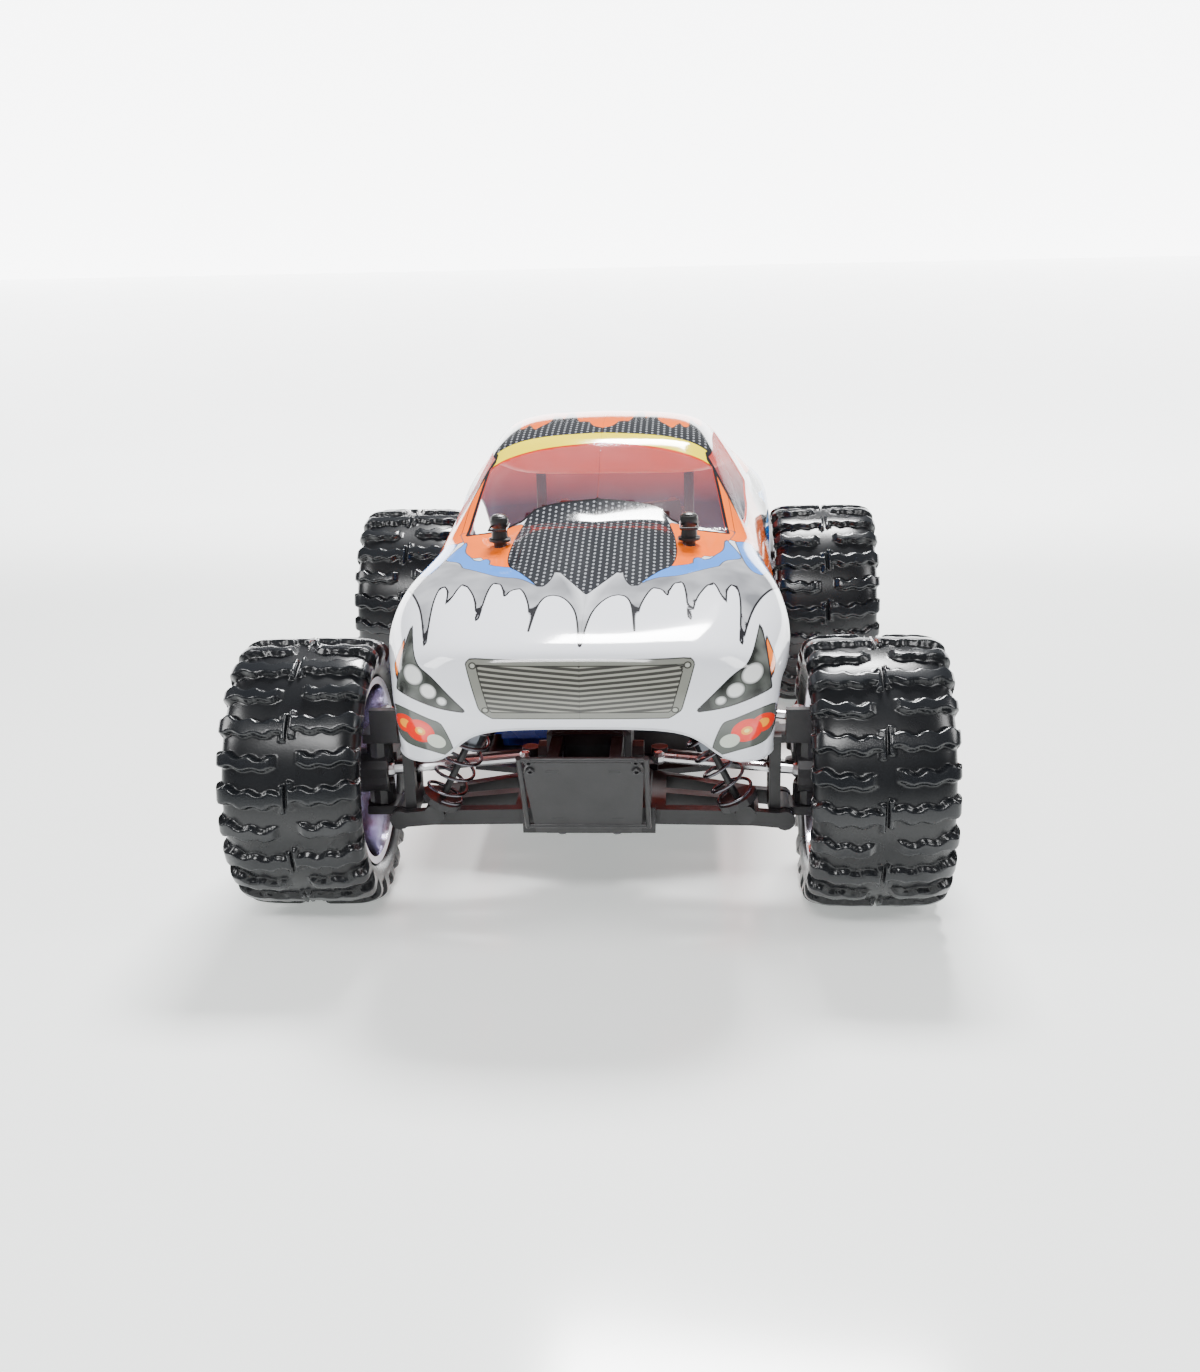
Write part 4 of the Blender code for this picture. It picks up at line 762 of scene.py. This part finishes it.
def barShape(arc, reach, pitch):
    # Height share of the tread, 0 to 1: arc is the way round, reach the way out from the crown, both in mm.
    ripple = np.sin(reach * 0.7 + 0.5)
    wave = 0.75 * ripple + 1.5 * np.sin(reach * 0.14)
    longBar = (arc - wave + pitch / 2) % pitch - pitch / 2
    shortBar = (arc - wave) % pitch - pitch / 2
    longHalf = 3.0 + 0.5 * np.sin(reach * 0.7 + 2.2) + 0.03 * reach
    shortHalf = 2.3 + 0.45 * np.sin(reach * 0.7 + 2.6) + 0.03 * reach
    whole = np.maximum(np.abs(longBar) - longHalf, np.maximum(0.7 - reach, reach - 35))
    partial = np.maximum(np.abs(shortBar) - shortHalf, np.maximum(5.5 - reach, reach - 33))
    rib = np.maximum(np.abs(longBar) - 6.2, np.maximum(reach - 2.3, 0.7 - reach))
    share = np.clip(0.5 - np.minimum(np.minimum(whole, partial), rib) / 1.0, 0, 1)
    return share * share * (3 - 2 * share)


def makeTyre(name, centre, phase):
    half = wheel["across"] // 2
    carcass = spline(np.array(wheel["carcass"], dtype=float), half)
    crest = spline(np.array(wheel["crest"], dtype=float), half)
    reach = np.concatenate([[0], np.cumsum(np.linalg.norm(np.diff(carcass, axis=0), axis=1))])
    angle = np.linspace(0, 2 * math.pi, wheel["around"], endpoint=False)
    pitch = 2 * math.pi * 60.5 / wheel["bars"]
    strips = []
    for hand, shift in ((-1, 0.0), (1, 0.06)):
        arc = (angle / (2 * math.pi) * wheel["bars"] + phase + shift) * pitch
        share = barShape(arc[:, None], reach[None, :], pitch)
        place = carcass + share[..., None] * (crest - carcass)
        strip = np.stack([place[..., 1] * hand, place[..., 0], share], -1)
        strips.append(strip[:, ::-1] if hand < 0 else strip[:, 1:])
    tread = np.concatenate(strips, 1)
    shares = tread[..., 2]
    inner = np.array([(-23.5, 43.5), (23.5, 43.5)])[None, ::-1].repeat(len(angle), 0)
    inner = np.concatenate([inner, np.zeros((len(angle), 2, 1))], -1)
    tread = np.concatenate([tread, inner], 1)
    points = np.empty(tread.shape)
    points[..., 0] = centre[0] + tread[..., 0] * mm
    points[..., 1] = centre[1] + tread[..., 1] * mm * np.cos(angle)[:, None]
    points[..., 2] = centre[2] + tread[..., 1] * mm * np.sin(angle)[:, None]
    thing = meshObject(name, points, gridFaces(len(angle), tread.shape[1], True, True))
    setAttribute(thing.data, "tread", np.concatenate([shares, inner[..., 2]], 1).ravel())
    fixNormals(thing)
    thing.data.shade_smooth()
    return thing


def makeRim(name, centre, side):
    # Barrel with rolled lips, a dished disc with five round windows, and five small bosses on its face.
    out = (side, 0, 0)
    barrel = [(42.4, -27), (42.4, -25.2), (40.1, -24.6), (39.9, -6), (39.9, 6), (40.1, 24.6), (42.4, 25.2),
              (42.4, 26.6), (41.6, 27), (40.2, 26.6), (39.4, 25), (38.6, 22), (38.2, 8), (38.2, 2),
              (38.4, -22),
              (39.2, -26.6)]
    disc = [(38.6, 2.4), (37, 7.6), (34, 7.2), (20, 3.6), (17.5, 3.2), (11, 2.4), (10.4, 2), (4, 2),
            (4, -12), (9, -12),
            (9, -2.2), (17.8, -1.6), (21, -0.6), (34, 2.6)]
    pieces = [lathe(name + "Barrel", np.array(barrel) * mm, centre, out, 112)]
    plate = lathe(name + "Disc", np.array(disc) * mm, centre, out, 80)
    for i in range(5):
        turn = 2 * math.pi * (i + 0.5) / 5
        spot = np.array(centre) + (0, 28 * mm * math.sin(turn), 28 * mm * math.cos(turn))
        hole = lathe(name + "Hole", np.array([(0.01, -20), (7, -20), (7, 20), (0.01, 20)]) * mm, spot,
                     out, 40)
        cut = plate.modifiers.new("window", "BOOLEAN")
        cut.operation = "DIFFERENCE"
        cut.object = hole
        graph = bpy.context.evaluated_depsgraph_get()
        mesh = bpy.data.meshes.new_from_object(plate.evaluated_get(graph))
        plate.modifiers.clear()
        plate.data = mesh
        bpy.data.objects.remove(hole, do_unlink=True)
    pieces.append(plate)
    for i in range(5):
        turn = 2 * math.pi * i / 5
        spot = np.array(centre) + (side * 4 * mm, 25 * mm * math.sin(turn), 25 * mm * math.cos(turn))
        pieces.append(lathe(name + "Boss", np.array([(0.01, 0), (2.2, 0), (1.8, 2), (0.01, 2.4)]) * mm,
                            spot, out, 20))
    thing = joined(name, pieces)
    thing.data.shade_smooth()
    thing.data.set_sharp_from_angle(angle=math.radians(40))
    return thing


def makeWheels():
    nutProfile = np.array([(0.01, 1.5), (4.2, 1.5), (4.2, 2.4), (3.5, 2.8), (3.5, 5.6), (2.8, 6.2),
                           (0.01, 6.2)]) * mm
    stubProfile = np.array([(0.01, -25), (3.4, -25), (3.4, 8.6), (2.9, 9.2), (0.01, 9.2)]) * mm
    for count, (endName, end) in enumerate(ends.items()):
        for sideName, side in sides.items():
            corner = endName + "_" + sideName
            centre = (side * wheel["track"], end * wheel["axle"], wheel["centreZ"])
            tyre = makeTyre(corner + "TyreLook", centre, 0.25 * count + (0.1 if side > 0 else 0.35))
            dress(tyre, tyreRubber, corner + "_wheel")
            rim = makeRim(corner + "RimLook", centre, side)
            dress(rim, rimChrome, corner + "_wheel")
            nut = lathe(corner + "Nut", nutProfile, centre, (side, 0, 0), 6)
            stub = lathe(corner + "Stub", stubProfile, centre, (side, 0, 0), 24)
            dress(joined(corner + "Fastening", [nut, stub]), driveSteel, corner + "_wheel")
            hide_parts(corner + "_tyre")
            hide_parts(corner + "_rim")
    print("wheels ready")


makeWheels()

# Dampers: body, collar, cap and a coil round it
damper = {"top": (34, 161.5, 118), "foot": (68, 161.5, 50), "coils": 7.0, "wire": 0.75 * mm,
          "coilRadius": 8.2 * mm}


def makeDamper(corner, end, side):
    top = np.array([side * damper["top"][0], end * damper["top"][1], damper["top"][2]]) * mm
    foot = np.array([side * damper["foot"][0], end * damper["foot"][1], damper["foot"][2]]) * mm
    along = (foot - top) / np.linalg.norm(foot - top)
    length = np.linalg.norm(foot - top)
    bodyProfile = [(0.01, 4.6), (4.6, 4.6), (5.4, 5.2), (5.4, 7.2), (6.1, 7.6), (6.1, 13.4), (5.5, 13.8),
                   (5.5, 15.2),
                   (9.7, 15.2), (9.9, 15.5), (9.9, 17.4), (9.7, 17.8), (5.9, 17.8)]
    for thread in np.arange(19, 39, 1.6):
        bodyProfile += [(5.9, thread), (5.4, thread + 0.5), (5.9, thread + 1.0)]
    bodyProfile += [(5.9, 39.6), (5.0, 40.3), (0.01, 40.3)]
    body = lathe(corner + "DamperBody", np.array(bodyProfile) * mm, top, along, 40)
    dress(body, shockAlloy, corner + "_shock_upper")
    turns = damper["coils"]
    start, stop = 19.4 * mm, length - 9.9 * mm
    steps = np.linspace(0, 1, int(turns * 26))
    rise = np.clip((steps - 0.08) / 0.84, 0, 1)
    _, across, up = axisFrame(along)
    swing = steps[:, None] * turns * 2 * math.pi
    path = top + along * (start + (stop - start) * rise)[:, None]
    path = path + damper["coilRadius"] * (np.cos(swing) * across + np.sin(swing) * up)
    coil = tube(corner + "Coil", path, damper["wire"], 10)
    coil.data.materials.append(springSteel)
    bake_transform(coil)
    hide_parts(corner + "_shock_spring")


for endName, end in ends.items():
    for sideName, side in sides.items():
        makeDamper(endName + "_" + sideName, end, side)
print("dampers ready")

# Plain finishes on the parts that keep their modelled shape
finishes = {
    "blackNylon": (blackNylon, ("chassis_plate", "front_bumper", "shock_tower", "body_posts", "lower_arm",
                                "c_hub",
                                "hub_carrier", "shock_shaft", "steering_knuckle", "steering_plate",
                                "servo_horn", "tie_rod")),
    "gearboxNylon": (gearboxNylon, ("gearbox",)),
    "driveSteel": (driveSteel, ("half_shaft", "centre_shaft", "motor_pinion", "upper_link")),
    "shockAlloy": (shockAlloy, ("shock_body",)),
    "motorCan": (motorCan, ("motor",)),
    "batteryWrap": (batteryWrap, ("battery_pack",)),
    "caseBlack": (caseBlack, ("speed_controller", "receiver", "steering_servo")),
    "clipSteel": (clipSteel, ("body_clip",)),
}


def finishNodes():
    for name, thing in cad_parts.items():
        for material, endings in finishes.values():
            if name.endswith(endings):
                thing.data.materials.clear()
                thing.data.materials.append(material)


finishNodes()

# Small trim: post caps, bumper frame and screws
trim = {"postX": 44 * mm, "frontPostY": -85 * mm, "rearPostY": 118 * mm, "postTop": 166 * mm}


def screwHead(name, spot, axis, radius, height):
    # A button head with a hexagon socket, its underside at the spot.
    profile = [(0.01 * mm, height * 0.45), (radius * 0.4, height * 0.45), (radius * 0.45, height),
               (radius * 0.8, height * 0.85), (radius, height * 0.35), (radius, 0), (0.01 * mm, 0)]
    return lathe(name, profile, spot, axis, 18)


def makePostCaps():
    # A rubber ball pushed over each post, its collar resting on the shell.
    profile = [(3.1, -12), (5.2, -12), (5.2, -10.8), (3.9, -10.4), (3.6, -7), (3.3, -5.6), (4.0, -4.2),
               (4.3, -2.4),
               (3.9, -0.8), (2.6, 0.3), (0.01, 0.6), (0.01, 0.1), (3.1, 0.1)]
    caps = []
    for side in (-1, 1):
        for y in (trim["frontPostY"], trim["rearPostY"]):
            spot = (side * trim["postX"], y, trim["postTop"])
            caps.append(lathe("postCap", np.array(profile) * mm, spot, (0, 0, 1), 32))
    dress(joined("postCaps", caps), postRubber, "chassis")


def makeBumperTrim():
    # A raised frame on the sloping plate and two screw heads near each of its top corners.
    top = np.array([0, -196.2, 90.5]) * mm
    bottom = np.array([0, -169.0, 45.0]) * mm
    down = (bottom - top) / np.linalg.norm(bottom - top)
    pieces = []
    for side in (-1, 1):
        x = np.array([side * 26.2 * mm, 0, 0])
        pieces.append(tube("ridge", [top + x + down * 2 * mm, bottom + x - down * 2 * mm], 1.2 * mm, 10))
        for reach in (4, 10):
            y = top + np.array([side * 22 * mm, 0, 0]) + down * reach * mm
            pieces.append(screwHead("bumperScrew", y, (0, down[2], -down[1]), 2.0 * mm, 1.4 * mm))
    for share in (0.06, 0.94):
        spot = top + (bottom - top) * share
        reach = np.array([25.5 * mm, 0, 0])
        pieces.append(tube("bar", [spot - reach, spot + reach], 1.1 * mm, 10))
    dress(joined("bumperTrim", pieces), blackNylon, "chassis")


def makeScrews():
    spots = []
    for side in (-1, 1):
        for y in (-162.5, -113.5, 113.5, 162.5):
            spots.append(((side * 12 * mm, y * mm, 42 * mm), (0, 0, -1), 2.4 * mm))
    pieces = [screwHead("screw", spot, axis, radius, 1.6 * mm) for spot, axis, radius in spots]
    dress(joined("chassisScrews", pieces), screwSteel, "chassis")


makePostCaps()
makeBumperTrim()
makeScrews()
print("trim ready")

# Studio: pale glossy floor, bright backdrop and large soft lamps
studio = {"eye": (0.0439, -0.7599, 0.3124), "yaw": -3.63, "down": 18.79, "roll": -1.36, "lens": 39.06,
          "sky": 0.22,
          "floorGlow": 0.45}


def areaLamp(name, place, target, size, power, colour=(1, 1, 1)):
    lamp = bpy.data.lights.new(name, "AREA")
    lamp.shape = "RECTANGLE"
    lamp.size, lamp.size_y = size
    lamp.energy = power
    lamp.color = colour
    thing = bpy.data.objects.new(name, lamp)
    bpy.context.scene.collection.objects.link(thing)
    thing.location = place
    thing.rotation_euler = (Vector(target) - Vector(place)).to_track_quat("-Z", "Y").to_euler()
    return thing


def makeFloor():
    angle = np.linspace(0, 2 * math.pi, 96, endpoint=False)
    reach = np.array([0.0, 0.5, 1.2, 3.0, 6.0])
    points = np.stack([reach[:, None] * np.cos(angle), reach[:, None] * np.sin(angle),
                       np.zeros((len(reach), len(angle)))], -1)
    floor = meshObject("floor", points, gridFaces(len(reach), len(angle), False, True))
    material, tree, shader = newMaterial("floorGloss", Metallic=0.0)
    shader.inputs["Specular IOR Level"].default_value = 0.5
    tree.links.new(mixColour(tree, noise(tree, 3), (0.83, 0.85, 0.84), (0.88, 0.89, 0.88)),
                   shader.inputs["Base Color"])
    tree.links.new(mathNode(tree, "MULTIPLY_ADD", noise(tree, 8, 2), 0.06, 0.1), shader.inputs["Roughness"])
    shader.inputs["Emission Color"].default_value = (0.95, 1.0, 0.97, 1)
    shader.inputs["Emission Strength"].default_value = studio["floorGlow"]
    floor.data.materials.append(material)
    return floor


def makeWorld():
    world = bpy.data.worlds.new("studio")
    bpy.context.scene.world = world
    world.use_nodes = True
    back = world.node_tree.nodes["Background"]
    back.inputs["Color"].default_value = (1, 1, 1, 1)
    back.inputs["Strength"].default_value = studio["sky"]


def makeCamera():
    camera = bpy.data.cameras.new("camera")
    camera.lens = studio["lens"]
    camera.sensor_fit = "AUTO"
    camera.clip_start = 0.01
    thing = bpy.data.objects.new("camera", camera)
    bpy.context.scene.collection.objects.link(thing)
    turn = Matrix.Rotation(math.radians(-studio["yaw"]), 4, "Z")
    tilt = Matrix.Rotation(math.radians(90 - studio["down"]), 4, "X")
    roll = Matrix.Rotation(math.radians(studio["roll"]), 4, "Z")
    thing.matrix_world = Matrix.Translation(studio["eye"]) @ turn @ tilt @ roll
    bpy.context.scene.camera = thing
    return thing


def makeBackdrop():
    # A bright wall far behind, seen as plain white and as the rim light on every upper edge.
    wall = meshObject("backdrop", [(-9, 5, -0.5), (9, 5, -0.5), (9, 5, 1.1), (-9, 5, 1.1)],
                      [(0, 1, 2, 3)], False)
    material, tree, shader = newMaterial("backdropGlow", Metallic=0.0, Roughness=1.0)
    shader.inputs["Emission Strength"].default_value = 7
    tree.links.new(mixColour(tree, noise(tree, 1), (1, 1, 1), (0.97, 0.98, 1)),
                   shader.inputs["Emission Color"])
    wall.data.materials.append(material)
    return wall


makeWorld()
stageThings = [
    makeFloor(),
    makeBackdrop(),
    makeCamera(),
    areaLamp("keyBack", (0.1, 0.7, 1.25), (0, 0.0, 0.05), (0.5, 0.3), 62),
    areaLamp("leftWall", (-1.0, -0.35, 0.75), (0, 0, 0.08), (0.35, 0.5), 8),
    areaLamp("rightWall", (1.0, -0.35, 0.75), (0, 0, 0.08), (0.35, 0.5), 7),
    areaLamp("frontTop", (-0.15, -1.0, 1.0), (0, -0.1, 0.1), (0.6, 0.2), 11),
]
